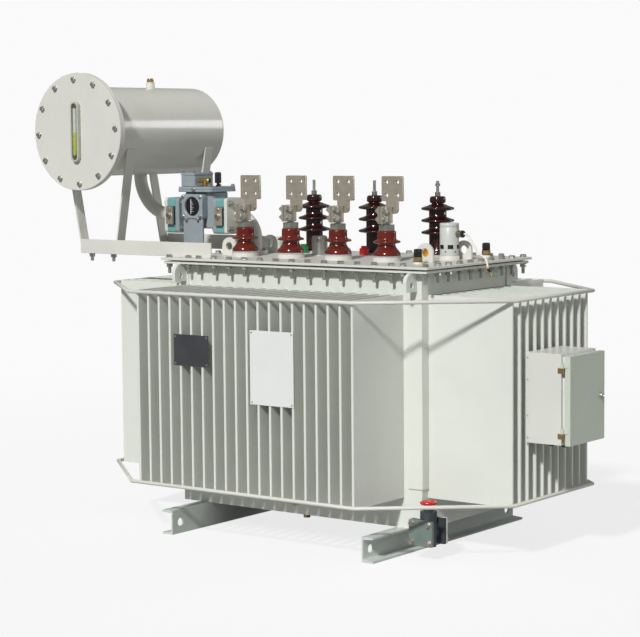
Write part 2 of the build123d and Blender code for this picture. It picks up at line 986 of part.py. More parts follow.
# gas relay: flanged body, window frame with its flap hanging open, lid and terminal box
relay_x = (relay_left_end + relay_right_end) / 2
relay_body_top = line_z + relay_body_rise
relay_body_foot = line_z - relay_body_drop
window_x = relay_x + window_shift
window_z = line_z + window_rise
window_foot = window_z - window_height / 2
relay = block(
    (relay_left_end + relay_flange_sheet, line_y - relay_half_depth, relay_body_foot),
    (relay_right_end - relay_flange_sheet, line_y + relay_half_depth, relay_body_top),
)
relay += square_flange(relay_left_end, relay_flange_sheet)
relay += square_flange(relay_right_end - relay_flange_sheet, relay_flange_sheet)
relay += block(
    (window_x - window_width / 2, line_y - window_reach, window_foot),
    (window_x + window_width / 2, line_y - relay_half_depth, window_foot + window_height),
)
relay += block(
    (window_x - flap_width / 2, line_y - flap_front, window_foot - flap_length),
    (window_x + flap_width / 2, line_y - flap_front + flap_sheet, window_foot),
)
window_back = line_y - relay_half_depth
relay -= rod(
    (window_x, line_y - window_reach - 1, window_z),
    window_hole,
    window_reach - relay_half_depth - window_glass + 1,
    "y",
)
nodes["gas_relay_body"] = relay
lid_top = relay_body_top + lid_sheet
lid_left = relay_x + lid_shift_x - lid_length / 2
lid_front = line_y + lid_shift_y - lid_depth / 2
nodes["gas_relay_lid"] = block(
    (lid_left, lid_front, relay_body_top),
    (lid_left + lid_length, lid_front + lid_depth, lid_top),
)
relay_box_x = lid_left + relay_box_from_lid_end
relay_box_y = lid_front + relay_box_from_lid_front
nodes["gas_relay_terminal_box"] = block(
    (relay_box_x, relay_box_y, lid_top),
    (relay_box_x + relay_box_length, relay_box_y + relay_box_depth, lid_top + relay_box_height),
)
knob_x = lid_left + lid_length - knob_from_lid_end - knob_radius
knob_y = lid_front + knob_from_lid_front
nodes["gas_relay_test_knob"] = rod((knob_x, knob_y, lid_top), knob_radius, knob_height)

# plates on the front fin tips
dark_plate_foot = fin_top - dark_plate_drop - dark_plate_height
white_plate_foot = fin_top - white_plate_drop - white_plate_height
nodes["rating_plate"] = block(
    (dark_plate_left, -front_tip - plate_sheet, dark_plate_foot),
    (dark_plate_left + dark_plate_width, -front_tip, dark_plate_foot + dark_plate_height),
)
nodes["notice_plate"] = block(
    (white_plate_left, -front_tip - plate_sheet, white_plate_foot),
    (white_plate_left + white_plate_width, -front_tip, white_plate_foot + white_plate_height),
)

# terminal box: an open-fronted shell with a lip that the door closes over
box_front = side_tip + box_depth
box_right_y = box_left_y + box_width
box_top = fin_top - box_drop
box_foot = box_top - box_height
inner_low_y = box_left_y + box_sheet
inner_high_y = box_right_y - box_sheet
shell = block((side_tip, box_left_y, box_foot), (box_front, box_right_y, box_top))
shell -= block(
    (side_tip + box_sheet, inner_low_y, box_foot + box_sheet),
    (box_front - box_sheet, inner_high_y, box_top - box_sheet),
)
lip_low = (box_front - box_sheet, box_left_y + lip_inset, box_foot + lip_inset)
lip_high = (box_front + lip_reach, box_right_y - lip_inset, box_top - lip_inset)
shell += block(lip_low, lip_high)
shell -= block(
    (lip_low[0] - 1, lip_low[1] + box_sheet, lip_low[2] + box_sheet),
    (lip_high[0] + 1, lip_high[1] - box_sheet, lip_high[2] - box_sheet),
)
nodes["control_box_body"] = shell

door_back = box_front + door_gap
door_front = door_back + door_depth
door_top = box_top - door_drop
door = block((door_back, box_left_y, box_foot), (door_front, box_right_y, door_top))
door -= block(
    (door_back - 1, box_left_y + door_sheet, box_foot + door_sheet),
    (door_front - door_sheet, box_right_y - door_sheet, door_top - door_sheet),
)
hinge_x = box_front + door_gap / 2
hinge_y = box_left_y - hinge_outset
knuckle = (hinge_height - hinge_leaf_gap) / 2
fixed_hinges = []
for hinge_foot in (box_foot + hinge_from_end, door_top - hinge_from_end - hinge_height):
    upper_foot = hinge_foot + knuckle + hinge_leaf_gap
    fixed = block(
        (hinge_x - hinge_leaf_length, box_left_y - hinge_leaf_sheet, hinge_foot),
        (hinge_x, box_left_y, hinge_foot + knuckle),
    )
    fixed += rod((hinge_x, hinge_y, hinge_foot), hinge_radius, knuckle)
    fixed += rod((hinge_x, hinge_y, hinge_foot), hinge_pin_radius, hinge_height)
    fixed_hinges.append(fixed)
    moving = block(
        (hinge_x, box_left_y - hinge_leaf_sheet, upper_foot),
        (hinge_x + hinge_leaf_length, box_left_y, upper_foot + knuckle),
    )
    moving += rod((hinge_x, hinge_y, upper_foot), hinge_radius, knuckle)
    pin_hole = hinge_pin_radius + hinge_pin_clearance
    door += moving - rod((hinge_x, hinge_y, upper_foot - 1), pin_hole, knuckle + 2)
nodes["control_box_hinges"] = together(fixed_hinges)
nodes["control_box_door"] = door
nodes["control_box_lock"] = rod(
    (door_front, box_right_y - lock_from_edge, (box_foot + door_top) / 2),
    lock_radius,
    lock_height,
    "x",
)
gland_y = box_left_y + box_width / 2
nodes["control_box_glands"] = together(
    [
        rod((side_tip + reach, gland_y, box_foot - box_gland_height), box_gland_radius, box_gland_height)
        for reach in box_gland_reaches
    ]
)

# drain pipe from the right wall, turned towards the front
valve_x = wall_x + drain_bend
drain_z = channel_height + drain_rise
valve_back_y = valve_set_back - wall_y
valve_front_y = valve_back_y - valve_over_flanges
drain_y = valve_back_y + drain_bend
drain_pipe = tube_bend(
    (wall_x, drain_y, drain_z),
    (1, 0, 0),
    (wall_x, valve_back_y, drain_z),
    (0, 0, -1),
    drain_pipe_radius,
    pipe_wall,
)


# a square plate across the drain line
def drain_plate(y, sheet):
    low = (valve_x - valve_plate_width / 2, y, drain_z - valve_plate_height / 2)
    high = (valve_x + valve_plate_width / 2, y + sheet, drain_z + valve_plate_height / 2)
    return block(low, high)


tank_flange_y = valve_back_y - tank_flange_sheet
nodes["drain_pipe"] = drain_pipe + drain_plate(tank_flange_y, tank_flange_sheet)
blank_back_y = valve_front_y + blank_sheet
nodes["drain_blank_flange"] = drain_plate(valve_front_y, blank_sheet)
valve_middle_y = (blank_back_y + tank_flange_y) / 2
drain_valve = drain_plate(blank_back_y, valve_flange_sheet)
drain_valve += drain_plate(tank_flange_y - valve_flange_sheet, valve_flange_sheet)
drain_valve += rod(
    (valve_x, blank_back_y, drain_z),
    valve_body_radius,
    tank_flange_y - blank_back_y,
    "y",
)
bonnet_top = drain_z + bonnet_height
drain_valve += rod((valve_x, valve_middle_y, drain_z), bonnet_radius, bonnet_height)
drain_valve += hexagon((valve_x, valve_middle_y, bonnet_top), 2 * gland_nut_radius, gland_nut_height)
port_z = drain_z - port_drop
drain_valve += rod((valve_x - port_reach, valve_middle_y, port_z), port_radius, port_reach, "x")
stem_foot = bonnet_top - valve_stem_depth
drain_valve -= rod(
    (valve_x, valve_middle_y, stem_foot - valve_stem_end_gap),
    valve_stem_radius + valve_stem_clearance,
    bonnet_top,
)
nodes["drain_valve"] = drain_valve

# handwheel with its stem
wheel_z = bonnet_top + wheel_rise
rim = Torus(wheel_radius - wheel_rim_radius, wheel_rim_radius)
wheel = Pos(valve_x, valve_middle_y, wheel_z) * rim
hub_foot = wheel_z - wheel_rim_radius
wheel += rod((valve_x, valve_middle_y, hub_foot), wheel_hub_radius, 2 * wheel_rim_radius)
wheel += rod((valve_x, valve_middle_y, stem_foot), valve_stem_radius, wheel_z - stem_foot)
for turn in range(wheel_spoke_count):
    spoke = Box(
        wheel_radius - wheel_rim_radius,
        wheel_spoke,
        wheel_spoke,
        align=(Align.MIN, Align.CENTER, Align.CENTER),
    )
    angle = 360 * turn / wheel_spoke_count
    wheel += Pos(valve_x, valve_middle_y, wheel_z) * Rot(0, 0, angle) * spoke
nodes["drain_handwheel"] = wheel

# plug under the tank and earth stud on the front wall
nodes["drain_plug"] = rod(
    (plug_x, plug_y, channel_height - plug_height),
    plug_radius,
    plug_height,
)
earth_z = channel_height + earth_rise
nodes["earth_stud"] = rod(
    (earth_x, -wall_y - earth_reach, earth_z),
    earth_radius,
    earth_reach,
    "y",
)

# the row's origin: the bottom centre of the whole assembly's box
whole = Compound(children=[Compound(shape.solids()) for shape in nodes.values()])
box = whole.bounding_box()
origin_shift = Pos(-(box.min.X + box.max.X) / 2, -(box.min.Y + box.max.Y) / 2, -box.min.Z)
for name, shape in nodes.items():
    export_step(origin_shift * shape, f"parts/{name}.step")
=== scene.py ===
import json
import math

import bmesh
import bpy
import numpy as np
from mathutils import Matrix, Vector

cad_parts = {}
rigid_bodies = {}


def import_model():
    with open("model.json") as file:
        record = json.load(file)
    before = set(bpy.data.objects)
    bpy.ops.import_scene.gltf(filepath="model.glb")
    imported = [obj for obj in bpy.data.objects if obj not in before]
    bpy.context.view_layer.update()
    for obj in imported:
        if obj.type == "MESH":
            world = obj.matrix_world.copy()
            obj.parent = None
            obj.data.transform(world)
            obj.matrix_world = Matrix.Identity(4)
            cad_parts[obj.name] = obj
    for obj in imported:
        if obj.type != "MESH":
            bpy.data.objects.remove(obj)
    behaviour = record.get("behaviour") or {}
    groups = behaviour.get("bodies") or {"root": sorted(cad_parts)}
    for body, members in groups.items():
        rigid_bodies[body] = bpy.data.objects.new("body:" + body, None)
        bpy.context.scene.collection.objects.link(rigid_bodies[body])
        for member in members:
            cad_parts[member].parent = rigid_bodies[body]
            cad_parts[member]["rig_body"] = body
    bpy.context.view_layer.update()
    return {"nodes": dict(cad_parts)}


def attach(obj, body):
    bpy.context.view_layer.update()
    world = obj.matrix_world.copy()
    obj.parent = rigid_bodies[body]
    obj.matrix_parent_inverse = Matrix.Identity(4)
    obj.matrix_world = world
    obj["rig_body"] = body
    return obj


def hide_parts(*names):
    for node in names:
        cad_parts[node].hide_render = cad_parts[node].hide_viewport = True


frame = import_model()

# lengths below are millimetres from the tank's centre on the ground; the frame's origin lies
# this far from it along X, and mm turns a length into Blender's metres
tankShift = 62.1
mm = 0.001


def inFrame(points):
    # tank millimetres to frame metres
    return (np.asarray(points, float) + np.array([tankShift, 0.0, 0.0])) * mm


def linearColour(red, green, blue):
    # a colour as it looks on screen, to the linear numbers that a shader takes
    screen = np.array([red, green, blue], float)
    linear = np.where(screen <= 0.04045, screen / 12.92, ((screen + 0.055) / 1.055) ** 2.4)
    return (*linear.tolist(), 1.0)


# camera
cameraSettings = {
    "place": (4.0432, -5.4632, 1.3120),
    "back": (0.59623, -0.79766, 0.09077),
    "right": (0.80097, 0.59870, 0.0),
    "rollDegrees": -0.5006,
    "lens": 115.09,
}


def makeCamera(settings):
    back = Vector(settings["back"]).normalized()
    level = Vector(settings["right"]).normalized()
    upright = back.cross(level)
    roll = math.radians(settings["rollDegrees"])
    right = level * math.cos(roll) + upright * math.sin(roll)
    up = upright * math.cos(roll) - level * math.sin(roll)
    data = bpy.data.cameras.new("photoCamera")
    data.lens = settings["lens"]
    data.sensor_width = 36.0
    data.clip_end = 100.0
    camera = bpy.data.objects.new("photoCamera", data)
    turn = Matrix((right, up, back)).transposed().to_4x4()
    camera.matrix_world = Matrix.Translation(settings["place"]) @ turn
    bpy.context.scene.collection.objects.link(camera)
    bpy.context.scene.camera = camera


makeCamera(cameraSettings)
print("camera placed")


# finishes
def fillInputs(node, **inputs):
    for key, value in inputs.items():
        node.inputs[key.replace("_", " ")].default_value = value
    return node


def addNode(tree, kind, **inputs):
    return fillInputs(tree.nodes.new(kind), **inputs)


def join(tree, source, output, target, socket):
    tree.links.new(source.outputs[output], target.inputs[socket])


def makeFinish(name, colour, shade=0.06, patch=9.0, roughness=0.45, roughSpread=0.1, metallic=0.0,
               grain=900.0, bumpDepth=0.00004, coat=0.0):
    # base colour wanders between two near shades with a broad noise; a fine noise lifts the
    # surface and varies the roughness
    material = bpy.data.materials.new(name)
    material.use_nodes = True
    tree = material.node_tree
    shader = tree.nodes["Principled BSDF"]
    place = tree.nodes.new("ShaderNodeTexCoord")
    broad = addNode(tree, "ShaderNodeTexNoise", Scale=patch, Detail=5.0, Roughness=0.6)
    fine = addNode(tree, "ShaderNodeTexNoise", Scale=grain, Detail=3.0, Roughness=0.5)
    for noise in (broad, fine):
        join(tree, place, "Object", noise, "Vector")
    ramp = tree.nodes.new("ShaderNodeValToRGB")
    light = np.array(linearColour(*colour)[:3])
    dark = light * (1 - shade)
    ramp.color_ramp.elements[0].position = 0.3
    ramp.color_ramp.elements[0].color = (*dark, 1.0)
    ramp.color_ramp.elements[1].position = 0.62
    ramp.color_ramp.elements[1].color = (*light, 1.0)
    join(tree, broad, "Fac", ramp, "Fac")
    join(tree, ramp, "Color", shader, "Base Color")
    spread = addNode(tree, "ShaderNodeMapRange", To_Min=roughness - roughSpread / 2,
                     To_Max=roughness + roughSpread / 2)
    join(tree, fine, "Fac", spread, "Value")
    join(tree, spread, "Result", shader, "Roughness")
    bump = addNode(tree, "ShaderNodeBump", Strength=0.6, Distance=bumpDepth)
    join(tree, fine, "Fac", bump, "Height")
    join(tree, bump, "Normal", shader, "Normal")
    fillInputs(shader, Metallic=metallic, Coat_Weight=coat, Coat_Roughness=0.08)
    return material


finishes = {
    "tankPaint": makeFinish("tankPaint", (0.875, 0.885, 0.85), shade=0.05, patch=5, roughness=0.42),
    "coverPaint": makeFinish("coverPaint", (0.865, 0.86, 0.825), shade=0.06, patch=6, roughness=0.42),
    "boxPaint": makeFinish("boxPaint", (0.86, 0.86, 0.83), shade=0.05, patch=5, roughness=0.3),
    "doorPaint": makeFinish("doorPaint", (0.80, 0.83, 0.77), shade=0.07, patch=4, roughness=0.22),
    "channelPaint": makeFinish("channelPaint", (0.80, 0.82, 0.80), shade=0.08, patch=12, roughness=0.5),
    "gasketRubber": makeFinish("gasketRubber", (0.16, 0.16, 0.15), shade=0.2, roughness=0.7),
    "collarGrey": makeFinish("collarGrey", (0.72, 0.74, 0.74), shade=0.08, roughness=0.4),
    "brownPorcelain": makeFinish("brownPorcelain", (0.41, 0.12, 0.07), shade=0.3, patch=14,
                                 roughness=0.16, roughSpread=0.06, coat=0.4, bumpDepth=0.00001),
    # high-voltage glaze: its own dark brown, darkened further as painted shade under the sheds and a painted
    # dark reflection
    "darkGlazeWithPaintedShade": makeFinish("darkGlazeWithPaintedShade", (0.20, 0.08, 0.07), shade=0.35, patch=14,
                                roughness=0.16, roughSpread=0.06, coat=0.4, bumpDepth=0.00001),
    "platedSteel": makeFinish("platedSteel", (0.78, 0.78, 0.75), shade=0.3, patch=60, roughness=0.36,
                              metallic=0.9, roughSpread=0.2),
    "tinnedMetal": makeFinish("tinnedMetal", (0.80, 0.77, 0.70), shade=0.16, patch=40, roughness=0.42,
                              metallic=0.75, roughSpread=0.2),
    "brass": makeFinish("brass", (0.76, 0.63, 0.42), shade=0.3, patch=50, roughness=0.34, metallic=0.9,
                        roughSpread=0.2),
    "greyBrass": makeFinish("greyBrass", (0.60, 0.56, 0.46), shade=0.3, patch=50, roughness=0.4,
                            metallic=0.85, roughSpread=0.2),
    "reliefPaint": makeFinish("reliefPaint", (0.80, 0.81, 0.79), shade=0.06, patch=8, roughness=0.35),
    "blackPlastic": makeFinish("blackPlastic", (0.10, 0.10, 0.11), shade=0.25, patch=40, roughness=0.5),
    # near black: the screw heads' own colour, and painted shade where the relief windows and the relay's
    # sight glass show a hollow inside
    "blackScrewsAndPaintedHollowShade": makeFinish("blackScrewsAndPaintedHollowShade", (0.06, 0.06, 0.06), shade=0.3, patch=40, roughness=0.6),
    "oliveWasher": makeFinish("oliveWasher", (0.45, 0.45, 0.28), shade=0.2, patch=40, roughness=0.5),
    "gaugePaint": makeFinish("gaugePaint", (0.74, 0.75, 0.70), shade=0.08, patch=20, roughness=0.35),
    "oilGlass": makeFinish("oilGlass", (0.72, 0.74, 0.30), shade=0.15, patch=60, roughness=0.08,
                           roughSpread=0.04, coat=1.0),
    "clearGlass": makeFinish("clearGlass", (0.80, 0.83, 0.80), shade=0.1, patch=60, roughness=0.08,
                             roughSpread=0.04, coat=1.0),
    "drumPaint": makeFinish("drumPaint", (0.885, 0.88, 0.845), shade=0.05, patch=6, roughness=0.24,
                            coat=0.3),
    "tealPaint": makeFinish("tealPaint", (0.45, 0.66, 0.66), shade=0.12, patch=25, roughness=0.38),
    # a darker copy of the teal paint: painted shade for the valves' recesses
    "tealPaintedShade": makeFinish("tealPaintedShade", (0.16, 0.26, 0.26), shade=0.15, patch=25, roughness=0.5),
    "relayPaint": makeFinish("relayPaint", (0.60, 0.64, 0.66), shade=0.1, patch=25, roughness=0.36),
    "darkPlate": makeFinish("darkPlate", (0.30, 0.31, 0.32), shade=0.2, patch=10, roughness=0.35,
                            metallic=0.3),
    "whitePlate": makeFinish("whitePlate", (0.90, 0.905, 0.895), shade=0.03, patch=10, roughness=0.35),
    "glandPlastic": makeFinish("glandPlastic", (0.16, 0.24, 0.20), shade=0.2, patch=40, roughness=0.5),
    "valvePaint": makeFinish("valvePaint", (0.46, 0.51, 0.49), shade=0.15, patch=30, roughness=0.45),
    "valveDark": makeFinish("valveDark", (0.22, 0.25, 0.27), shade=0.25, patch=30, roughness=0.55),
    "redPaint": makeFinish("redPaint", (0.80, 0.05, 0.08), shade=0.15, patch=30, roughness=0.25,
                           coat=0.4),
    "markRed": makeFinish("markRed", (0.78, 0.24, 0.22), shade=0.2, patch=90, roughness=0.5),
    "clipYellow": makeFinish("clipYellow", (0.95, 0.62, 0.08), shade=0.12, patch=40, roughness=0.45),
    "clipGreen": makeFinish("clipGreen", (0.12, 0.48, 0.22), shade=0.12, patch=40, roughness=0.45),
    "clipRed": makeFinish("clipRed", (0.74, 0.07, 0.07), shade=0.12, patch=40, roughness=0.45),
    "cableWhite": makeFinish("cableWhite", (0.92, 0.91, 0.87), shade=0.05, patch=60, roughness=0.5),
    "wireTeal": makeFinish("wireTeal", (0.18, 0.60, 0.52), shade=0.12, patch=90, roughness=0.45),
    "weldBead": makeFinish("weldBead", (0.82, 0.83, 0.79), shade=0.1, patch=120, roughness=0.5,
                           bumpDepth=0.0004, grain=300),
}
print("finishes mixed:", len(finishes))


# shapes: each is (points, faces) in tank millimetres
def gridShape(points, closedRows=False, caps=True):
    # rows of points, each row a closed loop, joined to the next row by quads
    rows, columns = points.shape[:2]
    index = np.arange(rows * columns).reshape(rows, columns)
    if closedRows:
        index = np.vstack([index, index[:1]])
    wrapped = np.hstack([index, index[:, :1]])
    quads = np.stack([wrapped[:-1, :-1], wrapped[:-1, 1:], wrapped[1:, 1:], wrapped[1:, :-1]], -1)
    faces = quads.reshape(-1, 4).tolist()
    if caps and not closedRows:
        faces += [index[0][::-1].tolist(), index[-1].tolist()]
    return points.reshape(-1, 3), faces


axisFrames = {  # two directions across an axis and the axis itself
    "x": np.array([[0, 1, 0], [0, 0, 1], [1, 0, 0]], float),
    "y": np.array([[1, 0, 0], [0, 0, 1], [0, 1, 0]], float),
    "z": np.array([[1, 0, 0], [0, 1, 0], [0, 0, 1]], float),
}


def lathe(centre, profile, axis="z", segments=40, ribs=0, ribDepth=0.0, caps=True):
    # radius and height pairs turned about an axis; ribs adds a cosine of the angle to the radius
    across, upward, along = axisFrames[axis]
    radius, height = np.array(profile, float).T
    angle = np.linspace(0, 2 * np.pi, segments, endpoint=False)
    wave = ribDepth * (np.cos(ribs * angle) - 1) / 2 if ribs else np.zeros(segments)
    reach = radius[:, None] + wave[None, :]
    points = (np.array(centre, float)
              + reach[..., None] * (np.cos(angle)[:, None] * across + np.sin(angle)[:, None] * upward)
              + height[:, None, None] * along)
    return gridShape(points, caps=caps)


def ringLathe(centre, profile, axis="z", segments=40):
    # a closed outline of radius and height pairs turned about an axis
    points, faces = lathe(centre, profile, axis, segments, caps=False)
    rows = len(profile)
    last, first = (rows - 1) * segments, 0
    step = np.arange(segments)
    ahead = (step + 1) % segments
    faces += np.stack([last + step, last + ahead, first + ahead, first + step], -1).tolist()
    return points, faces


def roundedRectangle(width, height, radius, steps=4):
    # quarter circles at the four corners of a rectangle about the origin
    quarter = np.linspace(0, np.pi / 2, steps + 1)
    corners = np.array([[1, 1], [-1, 1], [-1, -1], [1, -1]], float)
    middle = corners * np.array([width / 2 - radius, height / 2 - radius])
    angle = quarter[None, :] + np.arange(4)[:, None] * np.pi / 2
    arc = np.stack([np.cos(angle), np.sin(angle)], -1) * radius
    return (middle[:, None, :] + arc).reshape(-1, 2)


def regularLoop(sides, flats, turn=0.0):
    # a regular polygon measured across its flats
    angle = np.arange(sides) * 2 * np.pi / sides + turn
    return np.stack([np.cos(angle), np.sin(angle)], -1) * flats / 2 / math.cos(math.pi / sides)


def insetLoop(loop, distance):
    # every point moves inward along the mean of its two edges' normals
    ahead = np.roll(loop, -1, 0) - loop
    ahead /= np.linalg.norm(ahead, axis=1)[:, None] + 1e-12
    normal = np.stack([-ahead[:, 1], ahead[:, 0]], -1)
    mean = normal + np.roll(normal, 1, 0)
    mean /= (mean * normal).sum(1)[:, None] + 1e-12
    return loop + mean * distance


def prism(centre, loop, low, high, axis="z", bevel=0.0):
    # a flat loop carried from low to high along an axis, drawn in by the bevel at both ends
    across, upward, along = axisFrames[axis]
    levels = [(low, bevel), (low + bevel, 0), (high - bevel, 0), (high, bevel)]
    if bevel <= 0:
        levels = [(low, 0), (high, 0)]
    rows = []
    for height, inset in levels:
        flat = insetLoop(loop, inset) if inset else loop
        rows.append(flat[:, :1] * across + flat[:, 1:] * upward + height * along)
    return gridShape(np.array(rows) + np.array(centre, float))


def slab(low, high, bevel=1.0, corner=None):
    # a box between two corners with rounded upright edges and bevelled ends
    low, high = np.array(low, float), np.array(high, float)
    size, middle = high - low, (high + low) / 2
    corner = bevel if corner is None else corner
    loop = roundedRectangle(size[0], size[1], max(corner, 0.05), 3)
    return prism((middle[0], middle[1], 0), loop, low[2], high[2], "z", bevel)


def tubeAlong(path, radius, sides=12):
    # a circle carried along a path; each section stands square to the path's direction
    path = np.array(path, float)
    forward = np.gradient(path, axis=0)
    forward /= np.linalg.norm(forward, axis=1)[:, None]
    across = axisFrames["y"][2]
    side = across - (forward @ across)[:, None] * forward
    side /= np.linalg.norm(side, axis=1)[:, None]
    other = np.cross(forward, side)
    angle = np.linspace(0, 2 * np.pi, sides, endpoint=False)
    radii = np.broadcast_to(np.asarray(radius, float), len(path))[:, None, None]
    points = path[:, None, :] + radii * (np.cos(angle)[None, :, None] * side[:, None, :]
                                         + np.sin(angle)[None, :, None] * other[:, None, :])
    return gridShape(points)


def gathered(shapes):
    # several shapes as one
    points, faces, count = [], [], 0
    for shapePoints, shapeFaces in shapes:
        points.append(shapePoints)
        faces += [[i + count for i in face] for face in shapeFaces]
        count += len(shapePoints)
    return np.vstack(points), faces


def moved(shape, offset):
    return shape[0] + np.array(offset, float), shape[1]


def turnedAbout(shape, centre, axis, degreesTurned):
    # a shape turned about a line through a centre along X, Y or Z
    turn = np.array(Matrix.Rotation(math.radians(degreesTurned), 3, axis.upper()))
    centre = np.array(centre, float)
    return (shape[0] - centre) @ turn.T + centre, shape[1]


def hexBolt(centre, flats, height, axis="z", way=1, washer=0.0, turn=0.3, tip=0.0, tipRadius=0.0):
    # a washer, a chamfered six-sided head and, if asked, the end of the thread beyond it
    centre = np.array(centre, float)
    along = axisFrames[axis][2] * way
    shapes = []
    foot = 0.0
    if washer:
        shapes.append(lathe(centre, [(washer, 0), (washer, way * 2.0), (washer - 0.5, way * 2.4)], axis, 20))
        foot = 2.4
    loop = regularLoop(6, flats, turn)
    edge = flats * 0.06
    rows = [(foot, edge * 0.4), (foot + edge, 0), (foot + height - edge, 0), (foot + height, edge)]
    across, upward, _ = axisFrames[axis]
    stack = [insetLoop(loop, inset) for _, inset in rows]
    points = np.array([flat[:, :1] * across + flat[:, 1:] * upward + level * along
                       for flat, (level, _) in zip(stack, rows)]) + centre
    shapes.append(gridShape(points))
    if tip:
        top = foot + height
        profile = [(tipRadius, way * (top - 0.5)), (tipRadius, way * (top + tip - 1)),
                   (tipRadius * 0.8, way * (top + tip))]
        shapes.append(lathe(centre, profile, axis, 16))
    return gathered(shapes)


def makePiece(name, shapes, finish, body="transformer", replaces=(), smoothUnder=40.0):
    # one mesh from several shapes, faces outward, smooth where neighbours meet at small angles
    points, faces = gathered(shapes if isinstance(shapes, list) else [shapes])
    mesh = bpy.data.meshes.new(name)
    mesh.from_pydata(inFrame(points).tolist(), [], faces)
    work = bmesh.new()
    work.from_mesh(mesh)
    bmesh.ops.recalc_face_normals(work, faces=work.faces)
    work.to_mesh(mesh)
    work.free()
    return settle(name, mesh, finish, body, replaces, smoothUnder)


def makeBolts(name, shapes, finish="platedSteel", body="transformer", replaces=()):
    # like makePiece, with the flats of nuts and heads kept sharp
    return makePiece(name, shapes, finish, body, replaces, 25)


def settle(name, mesh, finish, body, replaces, smoothUnder=40.0):
    mesh.materials.append(finishes[finish])
    mesh.polygons.foreach_set("use_smooth", np.ones(len(mesh.polygons), bool))
    mesh.set_sharp_from_angle(angle=math.radians(smoothUnder))
    piece = bpy.data.objects.new(name, mesh)
    bpy.context.scene.collection.objects.link(piece)
    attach(piece, body)
    if replaces:
        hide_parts(*replaces)
    return piece


def bodyOf(node):
    return frame["nodes"][node]["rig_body"]


def softened(node, finish, edge=1.2, smoothUnder=40.0):
    # a merged copy of a solid with its edges broken, which stands for the solid
    source = frame["nodes"][node]
    work = bmesh.new()
    work.from_mesh(source.data)
    bmesh.ops.remove_doubles(work, verts=work.verts, dist=0.00001)
    bmesh.ops.dissolve_limit(work, angle_limit=math.radians(0.5), verts=work.verts, edges=work.edges)
    mesh = bpy.data.meshes.new(node + "_finished")
    work.to_mesh(mesh)
    work.free()
    mesh.materials.clear()
    piece = settle(node + "_finished", mesh, finish, bodyOf(node), (node,), smoothUnder)
    if edge:
        bevel = piece.modifiers.new("brokenEdges", "BEVEL")
        bevel.width = edge * mm
        bevel.segments = 2
        bevel.limit_method = "ANGLE"
        bevel.angle_limit = math.radians(38)
        bevel.harden_normals = True
    return piece


def painted(node, finish):
    # a solid whose shape is right keeps it and takes a finish
    target = frame["nodes"][node]
    if not target.material_slots:
        target.data.materials.append(finishes[finish])
    for place in target.material_slots:
        place.material = finishes[finish]


# relief device's cable
cable = {
    "start": (439, 50, 983),
    "route": [(10, 0, 0), (22, 0, -16), (46, -4, -47), (66, -12, -63), (90, -24, -69), (107, -32, -86),
              (110, -34, -106)],
    "radius": 3.5,
    "length": 0.167,
}


def makeCable(settings):
    start = np.array(settings["start"], float)
    points = inFrame(np.vstack([start, start + np.array(settings["route"], float)]))
    curve = bpy.data.curves.new("relief_cable_sheath", "CURVE")
    curve.dimensions = "3D"
    curve.bevel_depth = settings["radius"] * mm
    curve.bevel_resolution = 4
    curve.resolution_u = 12
    curve.use_fill_caps = True
    spline = curve.splines.new("NURBS")
    spline.points.add(len(points) - 1)
    spline.points.foreach_set("co", np.hstack([points, np.ones((len(points), 1))]).ravel())
    spline.order_u = 3
    spline.use_endpoint_u = True
    curve.materials.append(finishes["cableWhite"])
    piece = bpy.data.objects.new("relief_cable_sheath", curve)
    bpy.context.scene.collection.objects.link(piece)
    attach(piece, "transformer")
    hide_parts("relief_cable")
    return piece


cableSheath = makeCable(cable)
print("cable laid")

# tank, fins, rim and cover
for node in ("front_wall", "back_wall", "left_wall", "right_wall", "tank_floor"):
    painted(node, "tankPaint")
painted("cover_gasket", "gasketRubber")
tankParts = {  # each solid's finish, broken edge and, on round bars, the angle that stays smooth
    "corner_posts": ("tankPaint", 1.0), "tank_rim": ("tankPaint", 1.0), "cover_plate": ("coverPaint", 1.5),
    "fin_rings": ("coverPaint", 0, 50), "base_channels": ("channelPaint", 1.5),
    "tank_lifting_eyes": ("tankPaint", 1.2), "cover_lifting_eyes": ("coverPaint", 1.2),
    "support_beams": ("coverPaint", 1.0), "conservator_legs": ("coverPaint", 1.0),
}
for node, settings in tankParts.items():
    softened(node, *settings)

coverTop, rimFoot = 899.0, 879.0
boltRows = {
    "longRow": [515, 432, 388, 323, 258.4, 193.8, 129.2, 64.6, 0],
    "longY": 286, "sideX": 514, "sideRow": [218, 157, 94, 31],
    "flats": 18, "head": 7, "washer": 11.5, "threadRadius": 5.5, "threadLength": 31, "nut": 10,
}


def coverBoltPlaces(row):
    places = [(side * x, y) for x in row["longRow"] for side in ((-1, 1) if x else (1,))
              for y in (-row["longY"], row["longY"])]
    places += [(x, side * y) for y in row["sideRow"] for side in (-1, 1)
               for x in (-row["sideX"], row["sideX"])]
    return places


